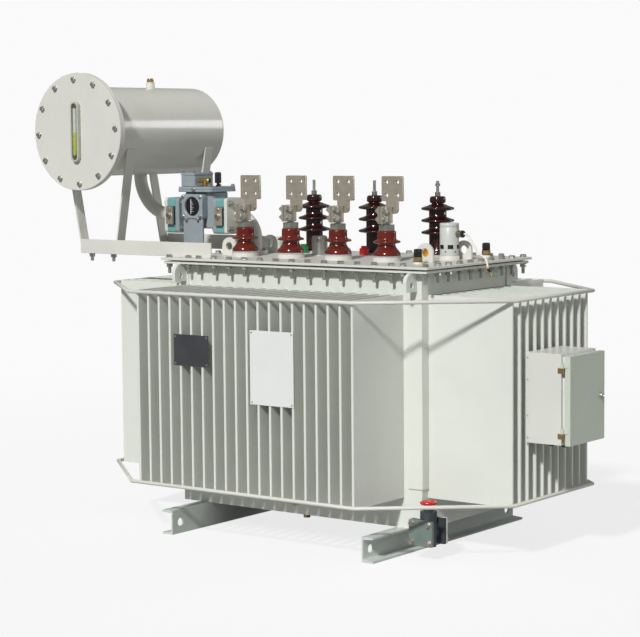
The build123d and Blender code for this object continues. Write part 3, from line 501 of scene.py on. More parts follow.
boltPlaces = coverBoltPlaces(boltRows)
headShape = hexBolt((0, 0, coverTop), boltRows["flats"], boltRows["head"], washer=boltRows["washer"])
nutShape = hexBolt((0, 0, rimFoot), boltRows["flats"], boltRows["nut"], way=-1,
                   washer=boltRows["washer"], tip=boltRows["threadLength"] - boltRows["nut"],
                   tipRadius=boltRows["threadRadius"])
turns = np.random.default_rng(7).uniform(0, 60, len(boltPlaces))
heads = [moved(turnedAbout(headShape, (0, 0, 0), "z", t), (x, y, 0)) for (x, y), t in zip(boltPlaces, turns)]
nuts = [moved(turnedAbout(nutShape, (0, 0, 0), "z", t), (x, y, 0)) for (x, y), t in zip(boltPlaces, turns)]
makeBolts("cover_bolt_heads", heads)
makeBolts("cover_bolt_nuts", nuts)
markShape = slab((-1.5, 3, coverTop + 9.2), (1.5, 12, coverTop + 9.8), 0.2)
makePiece("cover_bolt_marks",
          [moved(turnedAbout(markShape, (0, 0, 0), "z", 3 * t), (x, y, 0))
           for (x, y), t in zip(boltPlaces[::2], turns[::2])],
          "markRed")
beams = {
    "rows": (-228, 193), "overhang": (-921, -820), "onCover": -400, "sheet": 5,
    "flats": 18, "washer": 11.5, "threadRadius": 5.5, "nut": 10, "head": 8,
}
beamBolts = [hexBolt((x, y, coverTop), beams["flats"], beams["nut"], way=-1, washer=beams["washer"],
                     tip=14, tipRadius=beams["threadRadius"], turn=0.4)
             for x in beams["overhang"] for y in beams["rows"]]
beamBolts += [hexBolt((x, y, coverTop + beams["sheet"]), beams["flats"], beams["head"],
                      washer=beams["washer"], turn=0.7, tip=5, tipRadius=beams["threadRadius"])
              for x in (*beams["overhang"], beams["onCover"]) for y in beams["rows"]]
makeBolts("beam_bolts", beamBolts)
print("tank and cover done")

# low-voltage bushings
lowVoltage = {
    "places": [(-329 + 193 * i, -112) for i in range(4)],
    "collar": [(45, 0), (45, 12.2), (44, 13)],
    "seat": [(44.4, 13), (45, 13.5), (45, 17.4), (43.4, 18)],
    "porcelain": [(43.4, 0), (44, 3), (43.6, 8), (40.5, 13), (35.5, 19), (31, 25), (28.4, 30), (27.2, 35),
                  (28.4, 38), (33, 39.6), (40, 40.6), (43.4, 42), (44, 44.5), (42.8, 47), (37.5, 49),
                  (32.2, 51), (30.4, 54), (30, 60), (30, 74), (29.2, 78), (26.6, 80)],
    "earFace": 8.5, "boltFromStud": -26, "boltHeights": (1034, 1061),
}
lvSeat = coverTop + 18
collars = [lathe((x, y, coverTop), lowVoltage["collar"], segments=48) for x, y in lowVoltage["places"]]
makePiece("lv_collars", collars, "coverPaint", replaces=("bushing_collars",))
seats = [lathe((x, y, coverTop), lowVoltage["seat"], segments=48) for x, y in lowVoltage["places"]]
makePiece("lv_porcelain", [lathe((x, y, lvSeat), lowVoltage["porcelain"], segments=56)
                           for x, y in lowVoltage["places"]],
          "brownPorcelain", replaces=("lv_bushings",), smoothUnder=55)
softened("lv_terminals", "tinnedMetal", 1.0)
clampShapes = []
for x, y in lowVoltage["places"]:
    for z in lowVoltage["boltHeights"]:
        middle = (y + lowVoltage["boltFromStud"], z)
        clampShapes.append(hexBolt((x + lowVoltage["earFace"], *middle), 17, 8, "x", 1, washer=11,
                                   turn=0.2 + 0.01 * z))
        clampShapes.append(hexBolt((x - lowVoltage["earFace"], *middle), 17, 8, "x", -1, washer=11, tip=6,
                                   tipRadius=5))
makeBolts("lv_clamp_bolts", clampShapes)

# high-voltage bushings
highVoltage = {
    "places": [(-272.5 + 255.5 * i, 200) for i in range(3)],
    "collar": [(46, 0), (46, 3.6), (45, 4.7), (43, 5)],
    "sheds": (73, 112.5, 152), "nutHeight": 1131,
}


def shedProfile(sheds):
    # a straight body with a drooping shed at each height, and a cap
    profile = [(34.5, 0), (35, 4), (34.6, 9), (31, 12.5), (29, 15)]
    for top in sheds:
        profile += [(29, top - 7.6), (33, top - 7), (45, top - 5), (51, top - 3.8), (54, top - 2),
                    (55, top + 0.4), (54.4, top + 2.6), (52, top + 4.4), (45, top + 6.6), (36, top + 9.6),
                    (31, top + 11.6), (29.2, top + 13)]
    profile += [(21, 167), (20, 168.4), (20, 170), (23, 170.6), (25.4, 172.6), (26.5, 176.4), (26.5, 184),
                (25.6, 188.6), (23.4, 191.8), (20, 193)]
    return profile


seats += [lathe((x, y, coverTop), highVoltage["collar"], segments=48) for x, y in highVoltage["places"]]
makePiece("bushing_seats", seats, "collarGrey", replaces=("bushing_collars",))
# the high-voltage porcelain's brown is partly painted shade and painted dark reflection
makePiece("hv_porcelain", [lathe((x, y, coverTop + 5), shedProfile(highVoltage["sheds"]), segments=56)
                           for x, y in highVoltage["places"]],
          "darkGlazeWithPaintedShade", replaces=("hv_bushings",), smoothUnder=55)
softened("bushing_studs", "platedSteel", 0.8)
nutSpot = (*highVoltage["places"][-1], highVoltage["nutHeight"])
makeBolts("hv_stud_nut", hexBolt(nutSpot, 15, 6, washer=8.5))
phaseClip = {"halfWidth": 15, "fromBushing": (-71, -53), "height": 22, "capFoot": 21, "capTop": 30,
             "capInset": (5, 2)}
clipColours = ("clipGreen", "clipRed", "clipYellow")
for number, ((x, y), colour) in enumerate(zip(highVoltage["places"], clipColours), 1):
    half, (near, far), (insetX, insetY) = (phaseClip[key] for key in ("halfWidth", "fromBushing", "capInset"))
    low, high = (x - half, y + near), (x + half, y + far)
    body = slab((*low, coverTop), (*high, coverTop + phaseClip["height"]), 1.5, 2.5)
    cap = slab((low[0] + insetX, low[1] + insetY, coverTop + phaseClip["capFoot"]),
               (high[0] - insetX, high[1] - insetY, coverTop + phaseClip["capTop"]), 1.5, 3)
    makePiece(f"phase_clip_{number}", [body, cap], colour,
              replaces=("phase_clips",))
print("bushings done")

# small fittings on the cover
tapCap = {"centre": (-156, 74), "profile": [(27.5, 0), (27.5, 3), (26.4, 4), (26.4, 54), (25.8, 58.6),
                                           (24, 62), (21, 64.2), (17, 65)]}
makePiece("tap_changer_hood", lathe((*tapCap["centre"], coverTop), tapCap["profile"], segments=64),
          "platedSteel", replaces=("tap_changer_cap",))

relief = {
    "centre": (382, 50), "radius": 31.0, "foot": 913.0, "windows": 6, "windowLow": 935.0,
    "windowHigh": 948.0, "windowSpan": 34.0, "screwHeight": 926, "glandHeight": 983,
    "baseRing": [(33, 0), (33, 11), (32, 13.4), (30, 14)],
    "hood": [(29, 0), (30.6, 0.4), (31, 1.5), (31, 90), (30.4, 90.8), (30.4, 92.2), (31, 93), (31, 102),
             (29.6, 104.3), (26, 105), (10, 104.6)],
    "glandNeck": [(11.4, 412.6), (11.4, 414), (10.4, 420), (10.4, 427), (10, 433), (9.6, 434)],
    "glandEnd": [(9.8, 430), (11.4, 432), (11.4, 436), (9, 438.4), (4.2, 439), (3.7, 438.6)],
}


def curvedPatch(centre, radius, fromDegrees, toDegrees, low, high, thickness=0.5, steps=8):
    # a bent plate on a cylinder between two angles and two heights
    angle = np.radians(np.linspace(fromDegrees, toDegrees, steps))
    outer = np.stack([np.cos(angle), np.sin(angle)], -1) * (radius + thickness)
    inner = np.stack([np.cos(angle), np.sin(angle)], -1)[::-1] * (radius - 1.0)
    loop = np.vstack([outer, inner])
    rows = np.array([np.hstack([loop, np.full((len(loop), 1), z)]) for z in (low, high)])
    return gridShape(rows + np.array([*centre, 0.0]))


reliefX, reliefY = relief["centre"]
makePiece("relief_base_ring", lathe((reliefX, reliefY, coverTop), relief["baseRing"], segments=48),
          "coverPaint")
makePiece("relief_hood",
          lathe((reliefX, reliefY, relief["foot"]), relief["hood"], segments=64),
          "reliefPaint", replaces=("relief_device",))
# the hood's windows are dark sheets just inside its wall, painted shade of the hollow behind them; the screw
# heads beside them are black
windowShapes = []
for i in range(relief["windows"]):
    middle = -110 + 360 * i / relief["windows"]
    half = relief["windowSpan"] / 2
    windowShapes.append(curvedPatch(relief["centre"], relief["radius"] - 0.4, middle - half, middle + half,
                                    relief["windowLow"], relief["windowHigh"]))
    away = math.radians(middle - 30)
    spot = (reliefX + relief["radius"] * math.cos(away), reliefY + relief["radius"] * math.sin(away))
    windowShapes.append(lathe((*spot, relief["screwHeight"]),
                              [(0.6, -2.2), (2.0, -1.4), (2.3, 0), (2.0, 1.4), (0.6, 2.2)], segments=12))
makePiece("relief_windows", windowShapes, "blackScrewsAndPaintedHollowShade")
makePiece("relief_signal_arm",
          [slab((reliefX + 21, reliefY - 4, 1000), (reliefX + 32.5, reliefY + 4, 1015), 0.8),
           lathe((reliefX + 26, reliefY - 16, 1008), [(2, 0), (2, 26), (1.4, 27)], "y", 12)],
          "platedSteel")
glandLine = (0, reliefY, relief["glandHeight"])
makePiece("relief_gland",
          [prism(glandLine, regularLoop(6, 21.5, 0.26), 413, 421, "x", 0.8),
           prism(glandLine, regularLoop(6, 20.5, 0.6), 426, 432, "x", 0.8),
           lathe(glandLine, relief["glandNeck"], "x", 32)],
          "greyBrass", replaces=("relief_cable_gland",))
makePiece("relief_gland_end", lathe(glandLine, relief["glandEnd"], "x", 32),
          "blackPlastic")

thermometers = {
    "places": [(408, -170), (408, 230)], "nutFoot": 9, "nutTop": 22, "nutFlats": 26,
    "boss": [(16, 0), (15.6, 1), (15, 2), (15, 6.4), (14, 7)],
    "washer": [(12, 7), (15.8, 7.1), (15.8, 9), (12, 9.1)],
    "cap": [(12.6, 22), (13, 23.6), (13, 42), (12, 45.6), (9, 47), (6, 46.8)],
}
bosses, washers, brassNuts, caps = [], [], [], []
for x, y in thermometers["places"]:
    bosses.append(lathe((x, y, coverTop), thermometers["boss"], segments=32))
    washers.append(lathe((x, y, coverTop), thermometers["washer"], segments=32))
    brassNuts.append(prism((x, y, 0), regularLoop(6, thermometers["nutFlats"], 0.35),
                           coverTop + thermometers["nutFoot"], coverTop + thermometers["nutTop"], "z", 1.0))
    caps.append(lathe((x, y, coverTop), thermometers["cap"], segments=96, ribs=24, ribDepth=0.9))
makePiece("thermometer_pockets", bosses, "coverPaint",
          replaces=("thermometer_bosses",))
makePiece("thermometer_washers", washers, "oliveWasher")
makePiece("thermometer_nuts", brassNuts, "brass")
makePiece("thermometer_knobs", caps, "blackPlastic", replaces=("thermometer_caps",))
print("cover fittings done")

# conservator
drum = {"x": -876.0, "z": 1320.0, "front": -317.0, "face": -341.0, "boltCircle": 178.0,
        "bolts": 12, "firstBolt": math.radians(93.3), "fillerY": 40, "beadFoot": 1470.5,
        "neckTop": 1493}
drumCentre = (drum["x"], 0, drum["z"])
softened("conservator_drum", "drumPaint", 0.8)
endProfile = [(153, 258), (153, 260), (151.6, 262.2), (148, 263), (60, 262.9)]
makePiece("conservator_end", lathe(drumCentre, endProfile, "y", 96),
          "coverPaint", replaces=("conservator_back_end",))
ringProfile = [(149, -329), (198.6, -329), (200, -327.6), (200, -318.4), (198.6, -317), (149, -317)]
makePiece("conservator_ring", ringLathe(drumCentre, ringProfile, "y", 120),
          "coverPaint", replaces=("conservator_flange",))
discProfile = [(150, -329.2), (198.6, -329.2), (200, -330.6), (200, -339.4), (198.6, -341), (60, -341)]
makePiece("conservator_disc", lathe(drumCentre, discProfile, "y", 120),
          "coverPaint", replaces=("conservator_cover",))
beads = ringLathe(drumCentre, [(152.5, -317), (158, -317), (157, -314), (152.5, -311)], "y", 140)
backBead = ringLathe(drumCentre, [(150, 256), (153.2, 256.5), (153.2, 258.5), (150, 259)], "y", 120)
neckBead = ringLathe((drum["x"], drum["fillerY"], drum["beadFoot"]),
                     [(14.6, 0), (18.4, 0), (17.2, 2.6), (14.6, 4)], "z", 40)
makePiece("conservator_welds", [beads, backBead, neckBead], "weldBead")
ringBolts = []
for i in range(drum["bolts"]):
    away = 2 * math.pi * i / drum["bolts"] + drum["firstBolt"]
    boltX = drum["x"] + drum["boltCircle"] * math.cos(away)
    boltZ = drum["z"] + drum["boltCircle"] * math.sin(away)
    ringBolts.append(hexBolt((boltX, drum["face"], boltZ), 15, 7, "y", -1, washer=9.5, turn=0.4 * i))
    ringBolts.append(hexBolt((boltX, drum["front"], boltZ), 15, 8, "y", 1, washer=9.5, turn=0.3 * i,
                             tip=6, tipRadius=5))
makeBolts("conservator_bolts", ringBolts)
neckTop = drum["neckTop"]
fillerX, fillerY = drum["x"], drum["fillerY"]
makePiece("filler_cap",
          [prism((fillerX, fillerY, 0), regularLoop(6, 22, 0.4), neckTop, neckTop + 10, "z", 1.2),
           lathe((fillerX, fillerY, neckTop), [(10, 9), (10, 12), (9, 14), (5, 14)], segments=32)],
          "brass", replaces=("filler_plug",))


def stadium(width, height, steps=14):
    # two half circles joined by straight sides, the long way up
    radius = width / 2
    angle = np.linspace(0, np.pi, steps)
    top = np.stack([radius * np.cos(angle), height / 2 - radius + radius * np.sin(angle)], -1)
    return np.vstack([top, -top])


gauge = {"front": -355.5, "width": 36, "height": 205, "rim": 6, "tubeY": -350.5, "screwFoot": -345,
         "screwReach": 87}
gaugeOuter = stadium(gauge["width"], gauge["height"])
gaugeInner = stadium(gauge["width"] - 2 * gauge["rim"], gauge["height"] - 2 * gauge["rim"])


def stadiumRing(outerLoop, innerLoop, low, high, bevel):
    # an oblong ring between two loops, its outer edge broken
    levels = [(outerLoop, low), (outerLoop, high + bevel), (insetLoop(outerLoop, bevel), high),
              (innerLoop, high), (innerLoop, low)]
    rows = np.array([np.stack([loop[:, 0], np.full(len(loop), y), loop[:, 1]], -1) for loop, y in levels])
    return gridShape(rows + np.array(drumCentre), closedRows=True)


makePiece("oil_gauge_frame",
          [stadiumRing(gaugeOuter, gaugeInner, drum["face"], gauge["front"], 1.5),
           prism(drumCentre, stadium(26, 195), gauge["screwFoot"], drum["face"], "y")],
          "gaugePaint", replaces=("oil_gauge",), smoothUnder=35)
tubeCentre = (drum["x"], gauge["tubeY"], drum["z"])
makePiece("oil_gauge_glass", lathe(tubeCentre, [(4, -4), (6.4, -3.5), (6.4, 72), (6.4, 80)], segments=24),
          "clearGlass")
makePiece("oil_gauge_oil", lathe(tubeCentre, [(6.4, -80), (6.6, -79), (6.6, -5), (6, -4)], segments=24),
          "oilGlass")
screwProfile = [(8.5, 0), (8.5, -7), (7.6, -9), (5.6, -9.6), (5.2, -8.6), (2, -8.6)]
gaugeScrews = [lathe((drum["x"], gauge["screwFoot"], drum["z"] + side * gauge["screwReach"]),
                     screwProfile, "y", 32) for side in (-1, 1)]
makeBolts("oil_gauge_screws", gaugeScrews, "greyBrass")
print("conservator done")

# oil line
line = {
    "y": -20.0, "z": 1029.0, "boltSpread": 43.0, "valves": (-681.5, -463.5), "leverFace": -94,
    "flangePairs": ((-712, -647), (-498, -433)), "foot": (-358, -20, 913), "footCircle": 31,
}
for node in ("conservator_pipe", "cover_elbow"):
    softened(node, "coverPaint", 1.2, smoothUnder=45)
softened("oil_line_valves", "tealPaint", 2.0)
for node in ("conservator_valve_lever", "tank_valve_lever"):
    softened(node, "tinnedMetal", 0.8)
flangeBolts, flangeMarks = [], []
for left, right in line["flangePairs"]:
    for dy in (-1, 1):
        for dz in (-1, 1):
            y, z = line["y"] + dy * line["boltSpread"], line["z"] + dz * line["boltSpread"]
            flangeBolts.append(hexBolt((left, y, z), 16, 8, "x", -1, washer=10.5, turn=0.2 * dz))
            flangeBolts.append(hexBolt((right, y, z), 16, 9, "x", 1, washer=10.5, tip=8, tipRadius=5))
            flangeMarks.append(slab((left - 10.8, y - 1.5, z - 1.5), (left - 10.2, y + 1.5, z + 7), 0.2))
makeBolts("oil_line_bolts", flangeBolts)
makePiece("oil_line_marks", flangeMarks, "markRed")
leverFace = line["leverFace"]
for middle, side in zip(line["valves"], ("conservator", "tank")):
    body, name = side + "_valve_handle", side + "_valve_centre"
    makeBolts(name, [hexBolt((middle, leverFace, line["z"]), 15, 6, "y", -1, washer=9.5),
                     lathe((middle, leverFace - 6, line["z"]), [(5, 0), (5, -1.2), (4, -2)], "y", 20)],
              "greyBrass", body)
    makeBolts(name + "_lock", hexBolt((middle + 2, leverFace, line["z"] + 22), 10, 4, "y", -1), body=body)
# thin dark teal sheets on the two valves' faces: painted shade in their recesses
recesses = [slab((middle - 14, -82, 997), (middle + 17, -80.5, 1061), 0.4, 4) for middle in line["valves"]]
makePiece("oil_line_valve_recess_shade", recesses, "tealPaintedShade")
footX, footY, footTop = line["foot"]
footReach = line["footCircle"]
footBolts = [hexBolt((footX + footReach * math.cos(away), footY + footReach * math.sin(away), footTop), 13, 6,
                     washer=8.5) for away in np.radians([45, 135, 225, 315])]
makeBolts("elbow_foot_bolts", footBolts)

# gas relay
relay = {
    "left": -664.0, "right": -481.0, "y": -20.0, "flange": 17, "windowX": -577.5,
    "windowZ": 1061.0, "windowHole": 33, "lidFoot": 1110, "lidTop": 1128, "boxTop": 1176,
    "knob": [(8, 0), (8, 5), (5, 7), (5, 12), (11.4, 13), (11.4, 45), (10, 49), (5, 50)],
    "cock": [(5, -578), (9, -577), (9, -560), (7, -558), (7, -546), (10, -545), (10, -534), (8, -531)],
}
relayY, lidTop = relay["y"], relay["lidTop"]
squareLoop = roundedRectangle(122, 122, 12, 5)


def evenLoop(width, height, radius, count):
    # a rounded rectangle's outline sampled at even angles about its centre
    corners = roundedRectangle(width, height, radius, 12)
    ring = np.vstack([corners, corners[:1]])
    fine = np.vstack([np.linspace(a, b, 40, endpoint=False) for a, b in zip(ring[:-1], ring[1:])])
    bearing = np.arctan2(fine[:, 1], fine[:, 0]) % (2 * np.pi)
    order = np.argsort(bearing)
    even = np.linspace(0, 2 * np.pi, count, endpoint=False)
    reach = np.interp(even, bearing[order], np.hypot(fine[:, 0], fine[:, 1])[order], period=2 * np.pi)
    return np.stack([reach * np.cos(even), reach * np.sin(even)], -1)


windowX, windowZ = relay["windowX"], relay["windowZ"]
windowLoop = evenLoop(93, 84, 8, 72)
pipeLine = (0, relayY, line["z"])
makePiece("gas_relay_casting",
          [prism(pipeLine, squareLoop, relay["left"], relay["left"] + relay["flange"], "x", 2),
           prism(pipeLine, squareLoop, relay["right"] - relay["flange"], relay["right"], "x", 2),
           lathe(pipeLine, [(36, -648), (36, -630)], "x", 40),
           lathe(pipeLine, [(36, -515), (36, -496)], "x", 40),
           slab((-637, relayY - 44, 985), (-508, relayY + 44, relay["lidFoot"]), 4, 12),
           slab((windowX - 43.5, relayY - 70, 924), (windowX + 43.5, relayY - 60, 1019), 1.5, 3)],
          "relayPaint", replaces=("gas_relay_body",), smoothUnder=35)


def framedWindow(centre, loop, hole, low, front, bevel):
    # a rounded square plate with a round hole: every row has as many points as the square's loop
    angle = np.arctan2(loop[:, 1], loop[:, 0])
    circle = np.stack([np.cos(angle), np.sin(angle)], -1)
    levels = [(loop, low), (loop, front + bevel), (insetLoop(loop, bevel), front),
              (circle * (hole + 2), front), (circle * hole, front + 1.5), (circle * (hole - 1), front + 11)]
    rows = np.array([np.stack([flat[:, 0], np.full(len(flat), y), flat[:, 1]], -1) for flat, y in levels])
    return gridShape(rows + np.array(centre, float))


makePiece("gas_relay_window",
          framedWindow((windowX, 0, windowZ), windowLoop, relay["windowHole"], relayY - 44, relayY - 75, 2.5),
          "relayPaint", smoothUnder=35)
# the sight glass is a dark disc: painted shade of the relay's unlit inside seen through it
makePiece("gas_relay_glass",
          lathe((windowX, 0, windowZ), [(32, -86), (32, -87.4), (28, -88.4), (14, -89), (4, -89.2)],
                "y", 48), "blackScrewsAndPaintedHollowShade", smoothUnder=60)
scaleMarks = []
for i in range(6):
    markFoot = windowZ - 18 + 6.4 * i
    markEnd = windowX + (0 if i % 2 else 4)
    scaleMarks.append(slab((windowX - 7, -90.2, markFoot), (markEnd, -89.2, markFoot + 1.2), 0.2))
scaleMarks.append(slab((windowX - 9.2, -90.2, windowZ - 25), (windowX - 6.8, -89.2, windowZ + 25), 0.2))
makePiece("gas_relay_scale", scaleMarks, "whitePlate")
relayScrews = [hexBolt((windowX + 38 * dx, relayY - 75, windowZ + 33.5 * dz), 9, 4, "y", -1, washer=6)
               for dx in (-1, 1) for dz in (-1, 1)]
relayScrews += [lathe((windowX + dx * 26, relayY - 76, 1016.5), [(4.6, -3), (5.6, -2), (5.6, 12), (4.6, 13)],
                      "y", 20) for dx in (-1, 1)]
relayScrews += [hexBolt((x, y, lidTop), 11, 5, washer=7.5) for x in (-574, -514) for y in (-74, 52)]
relayScrews += [hexBolt((-577, -84, 1119), 12, 4, "y", -1, washer=8)]
makeBolts("gas_relay_screws", relayScrews)
lidLoop = roundedRectangle(152, 144, 14, 5)
lidMiddle = (windowX, relayY + 9, 0)
makePiece("gas_relay_cover",
          [prism(lidMiddle, lidLoop, relay["lidFoot"], 1118.4, "z", 1.5),
           prism(lidMiddle, insetLoop(lidLoop, 1.2), 1118, lidTop, "z", 1.5)],
          "relayPaint", replaces=("gas_relay_lid",), smoothUnder=35)
makePiece("gas_relay_junction_box",
          [slab((-645.5, -71, lidTop), (-583.5, 32, relay["boxTop"] - 8), 2.5, 6),
           slab((-646.5, -72, relay["boxTop"] - 9), (-582.5, 33, relay["boxTop"]), 1.5, 6)],
          "relayPaint", replaces=("gas_relay_terminal_box",), smoothUnder=35)
makeBolts("gas_relay_box_screws",
          [hexBolt((x, y, relay["boxTop"]), 8, 4) for x in (-638, -591) for y in (-63, 24)], "greyBrass")
makePiece("gas_relay_knob",
          [lathe((-514.5, -27, lidTop), relay["knob"], segments=60, ribs=15, ribDepth=1.0)],
          "blackPlastic", replaces=("gas_relay_test_knob",))
makePiece("gas_relay_cock",
          [lathe((0, -52, lidTop + 21), relay["cock"], "x", 32),
           lathe((-551, -52, lidTop), [(8, 0), (8, 14), (6, 22)], segments=24)],
          "brass")
print("oil line done")

# plates on the fins
plates = {"front": -532.6, "dark": (-289, 574, 143, 100), "white": (22, 470, 170, 232)}
softened("rating_plate", "darkPlate", 0.3)
softened("notice_plate", "whitePlate", 0.3)
rivets = []
for left, foot, wide, high in (plates["dark"], plates["white"]):
    rivets += [lathe((left + 7 + (wide - 14) * i, plates["front"], foot + 7 + (high - 14) * j),
                     [(3.2, 0), (2.8, -0.9), (1.4, -1.5)], "y", 16) for i in (0, 1) for j in (0, 1)]
makePiece("plate_rivets", rivets, "platedSteel")
print("plates done")

# control box
softened("control_box_body", "boxPaint", 1.2)
softened("control_box_door", "doorPaint", 1.5)
softened("control_box_hinges", "brass", 0.5)
makePiece("control_box_cam_lock",
          [lathe((0, 33, 501.5), [(9, 943.8), (9, 949.6), (8.2, 951.4), (6, 951.8), (5.6, 950.4), (2, 950.4)],
                 "x", 36)],
          "platedSteel", "door", ("control_box_lock",))
makePiece("control_box_cable_glands",
          [gathered([prism((788.8 + reach, -48, 0), regularLoop(6, 21, 0.3), 356, 366, "z", 1),
                     lathe((788.8 + reach, -48, 344), [(5, 0), (8, 1.5), (9, 5), (9, 12)], segments=28)])
           for reach in (30, 75)],
          "glandPlastic", replaces=("control_box_glands",))
boxDots = [lathe((796, -153, z), [(2.6, 0), (2.4, -0.8), (1.0, -1.2)], "y", 14) for z in (382, 450, 560, 626)]
makePiece("control_box_rivets", boxDots, "platedSteel")
print("control box done")

# drain valve
drain = {
    "x": 531.0, "z": 88.0, "front": -347, "back": -257, "spreadX": 31, "spreadZ": 28.5,
    "flats": 14, "head": 7,
}
softened("drain_pipe", "coverPaint", 1.0, smoothUnder=45)
softened("drain_blank_flange", "valvePaint", 2.0)
softened("drain_valve", "valveDark", 1.2, smoothUnder=45)
softened("drain_handwheel", "redPaint", 0, smoothUnder=60)
drainBolts, drainMarks = [], []
for dx in (-1, 1):
    for dz in (-1, 1):
        x, z = drain["x"] + drain["spreadX"] * dx, drain["z"] + drain["spreadZ"] * dz
        drainBolts.append(hexBolt((x, drain["front"], z), drain["flats"], drain["head"], "y", -1, washer=9.5,
                                  turn=0.2 * dx))
        drainBolts.append(hexBolt((x, drain["back"], z), drain["flats"], drain["head"], "y", 1, washer=9.5,
                                  tip=6, tipRadius=5))
        drainMarks.append(slab((x - 1.2, -357, z - 1), (x + 1.2, -356.2, z + 6), 0.2))
makeBolts("drain_bolts", drainBolts)
makePiece("drain_marks", drainMarks, "markRed")
makePiece("drain_plug_brass", [prism((-51, -150, 0), regularLoop(6, 22, 0.2), 46, 60, "z", 1.2),
                               lathe((-51, -150, 60), [(14, 0), (14, 19)], segments=32)],
          "brass", replaces=("drain_plug",))
earth = {"x": -14, "face": -262.5, "z": 118}
makeBolts("earth_terminal",
          [lathe((earth["x"], earth["face"], earth["z"]), [(13, 0), (13, -3), (12, -4)], "y", 28),
           hexBolt((earth["x"], earth["face"] - 3.5, earth["z"]), 15, 7, "y", -1)],
          replaces=("earth_stud",))
print("drain valve done")

# cable's tie, dark sleeve and bare wires
cableEnd = np.array([549, 16, 877], float)
sleevePath = cableEnd + np.array([[-1.5, -0.5, 2.4], [1.5, 0.6, -2.4], [4, 1.2, -6.2], [6, 2, -10]])
cableSleeve = makePiece("relief_cable_sleeve", [tubeAlong(sleevePath, [3.9, 3.9, 3.8, 3.4])],
                        "blackPlastic")
cableTie = makePiece("relief_cable_tie", [tubeAlong(cableEnd + np.array([[-4, -1, 6], [-2.5, -0.6, 3.4],
                                                                         [-1, -0.2, 0.8]]), [4.1, 4.6, 4.1])],
                     "clipYellow")
wirePath = cableEnd + np.array([[5, 1.5, -9], [8, 3, -13], [11, 3, -17], [13, 1, -21], [14, -2, -24.5]])
wireYellow = makePiece("relief_wire_yellow", [tubeAlong(wirePath, 1.3, 8)], "clipYellow")
wirePath = cableEnd + np.array([[5, 2, -9], [11, 4, -12], [18, 5, -13], [26, 7, -15], [33, 9, -19]])
wireGreen = makePiece("relief_wire_green", [tubeAlong(wirePath, 1.3, 8)], "wireTeal")
print("cable dressed")

# floor, world and lamps
stageSettings = {"floorRadius": 9.0, "fadeFrom": 1.6, "fadeTo": 5.0, "floorColour": 0.52, "seenColour": 0.9,
                 "glow": 0.985, "glowShare": 0.8, "backdrop": 0.957, "ambient": 0.23}


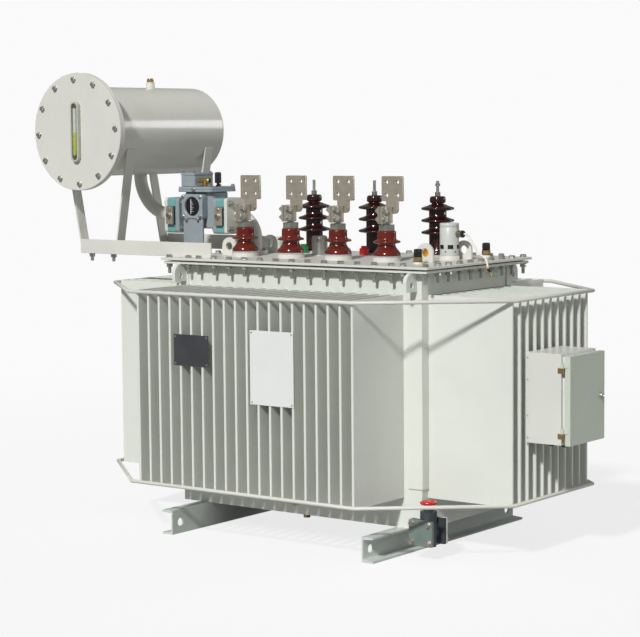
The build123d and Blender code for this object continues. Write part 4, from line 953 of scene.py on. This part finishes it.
def makeFloor(settings):
    angle = np.linspace(0, 2 * np.pi, 64, endpoint=False)
    points = np.stack([np.cos(angle), np.sin(angle), np.zeros(64)], -1) * settings["floorRadius"]
    mesh = bpy.data.meshes.new("floor")
    mesh.from_pydata(points.tolist(), [], [list(range(64))])
    floor = bpy.data.objects.new("floor", mesh)
    bpy.context.scene.collection.objects.link(floor)
    material = bpy.data.materials.new("paleFloor")
    material.use_nodes = True
    tree = material.node_tree
    shader = tree.nodes["Principled BSDF"]
    rays = tree.nodes.new("ShaderNodeLightPath")
    tone = addNode(tree, "ShaderNodeMapRange", To_Min=settings["floorColour"], To_Max=settings["seenColour"])
    join(tree, rays, "Is Camera Ray", tone, "Value")
    join(tree, tone, "Result", shader, "Base Color")
    glow = addNode(tree, "ShaderNodeEmission", Strength=settings["glow"])
    share = tree.nodes.new("ShaderNodeMath")
    share.operation = "MULTIPLY"
    share.inputs[1].default_value = settings["glowShare"]
    join(tree, rays, "Is Camera Ray", share, 0)
    lit = tree.nodes.new("ShaderNodeMixShader")
    join(tree, share, "Value", lit, "Fac")
    join(tree, shader, "BSDF", lit, 1)
    join(tree, glow, "Emission", lit, 2)
    fillInputs(shader, Roughness=0.9, Specular_IOR_Level=0.1)
    place = tree.nodes.new("ShaderNodeTexCoord")
    length = tree.nodes.new("ShaderNodeVectorMath")
    length.operation = "LENGTH"
    fade = addNode(tree, "ShaderNodeMapRange", From_Min=settings["fadeFrom"], From_Max=settings["fadeTo"])
    fade.interpolation_type = "SMOOTHSTEP"
    clear = tree.nodes.new("ShaderNodeBsdfTransparent")
    mix = tree.nodes.new("ShaderNodeMixShader")
    join(tree, place, "Object", length, 0)
    join(tree, length, "Value", fade, "Value")
    join(tree, fade, "Result", mix, "Fac")
    join(tree, lit, "Shader", mix, 1)
    join(tree, clear, "BSDF", mix, 2)
    join(tree, mix, "Shader", tree.nodes["Material Output"], "Surface")
    mesh.materials.append(material)


def makeWorld(settings):
    world = bpy.data.worlds.new("studio")
    bpy.context.scene.world = world
    world.use_nodes = True
    tree = world.node_tree
    light = tree.nodes["Background"]
    light.inputs["Color"].default_value = (0.96, 0.98, 1.0, 1)
    light.inputs["Strength"].default_value = settings["ambient"]
    seen = addNode(tree, "ShaderNodeBackground", Strength=1.0)
    white = settings["backdrop"]
    seen.inputs["Color"].default_value = (white, white, white, 1)
    rays = tree.nodes.new("ShaderNodeLightPath")
    either = tree.nodes.new("ShaderNodeMath")
    either.operation = "MAXIMUM"
    mix = tree.nodes.new("ShaderNodeMixShader")
    join(tree, rays, "Is Camera Ray", either, 0)
    join(tree, rays, "Is Transmission Ray", either, 1)
    join(tree, either, "Value", mix, "Fac")
    join(tree, light, "Background", mix, 1)
    join(tree, seen, "Background", mix, 2)
    join(tree, mix, "Shader", tree.nodes["World Output"], "Surface")


lamps = {
    "key": {"bearing": 13, "height": 37, "spread": 5, "power": 2.9, "kind": "SUN"},
    "sheen": {"bearing": 144, "height": 11, "spread": 14, "power": 0.35, "kind": "SUN"},
}


def makeLamp(name, settings):
    # a far lamp: its bearing is measured from the tank's front towards its right-hand end
    data = bpy.data.lights.new(name, settings["kind"])
    data.energy = settings["power"]
    data.angle = math.radians(settings["spread"])
    lamp = bpy.data.objects.new(name, data)
    bearing, height = math.radians(settings["bearing"]), math.radians(settings["height"])
    away = Vector((math.sin(bearing) * math.cos(height), -math.cos(bearing) * math.cos(height),
                   math.sin(height)))
    lamp.matrix_world = Matrix.Translation(away * 6) @ (-away).to_track_quat("-Z", "Y").to_matrix().to_4x4()
    bpy.context.scene.collection.objects.link(lamp)


makeFloor(stageSettings)
makeWorld(stageSettings)
for lampName, lampSettings in lamps.items():
    makeLamp(lampName, lampSettings)
bpy.context.scene.view_settings.view_transform = "Standard"
print("stage set")
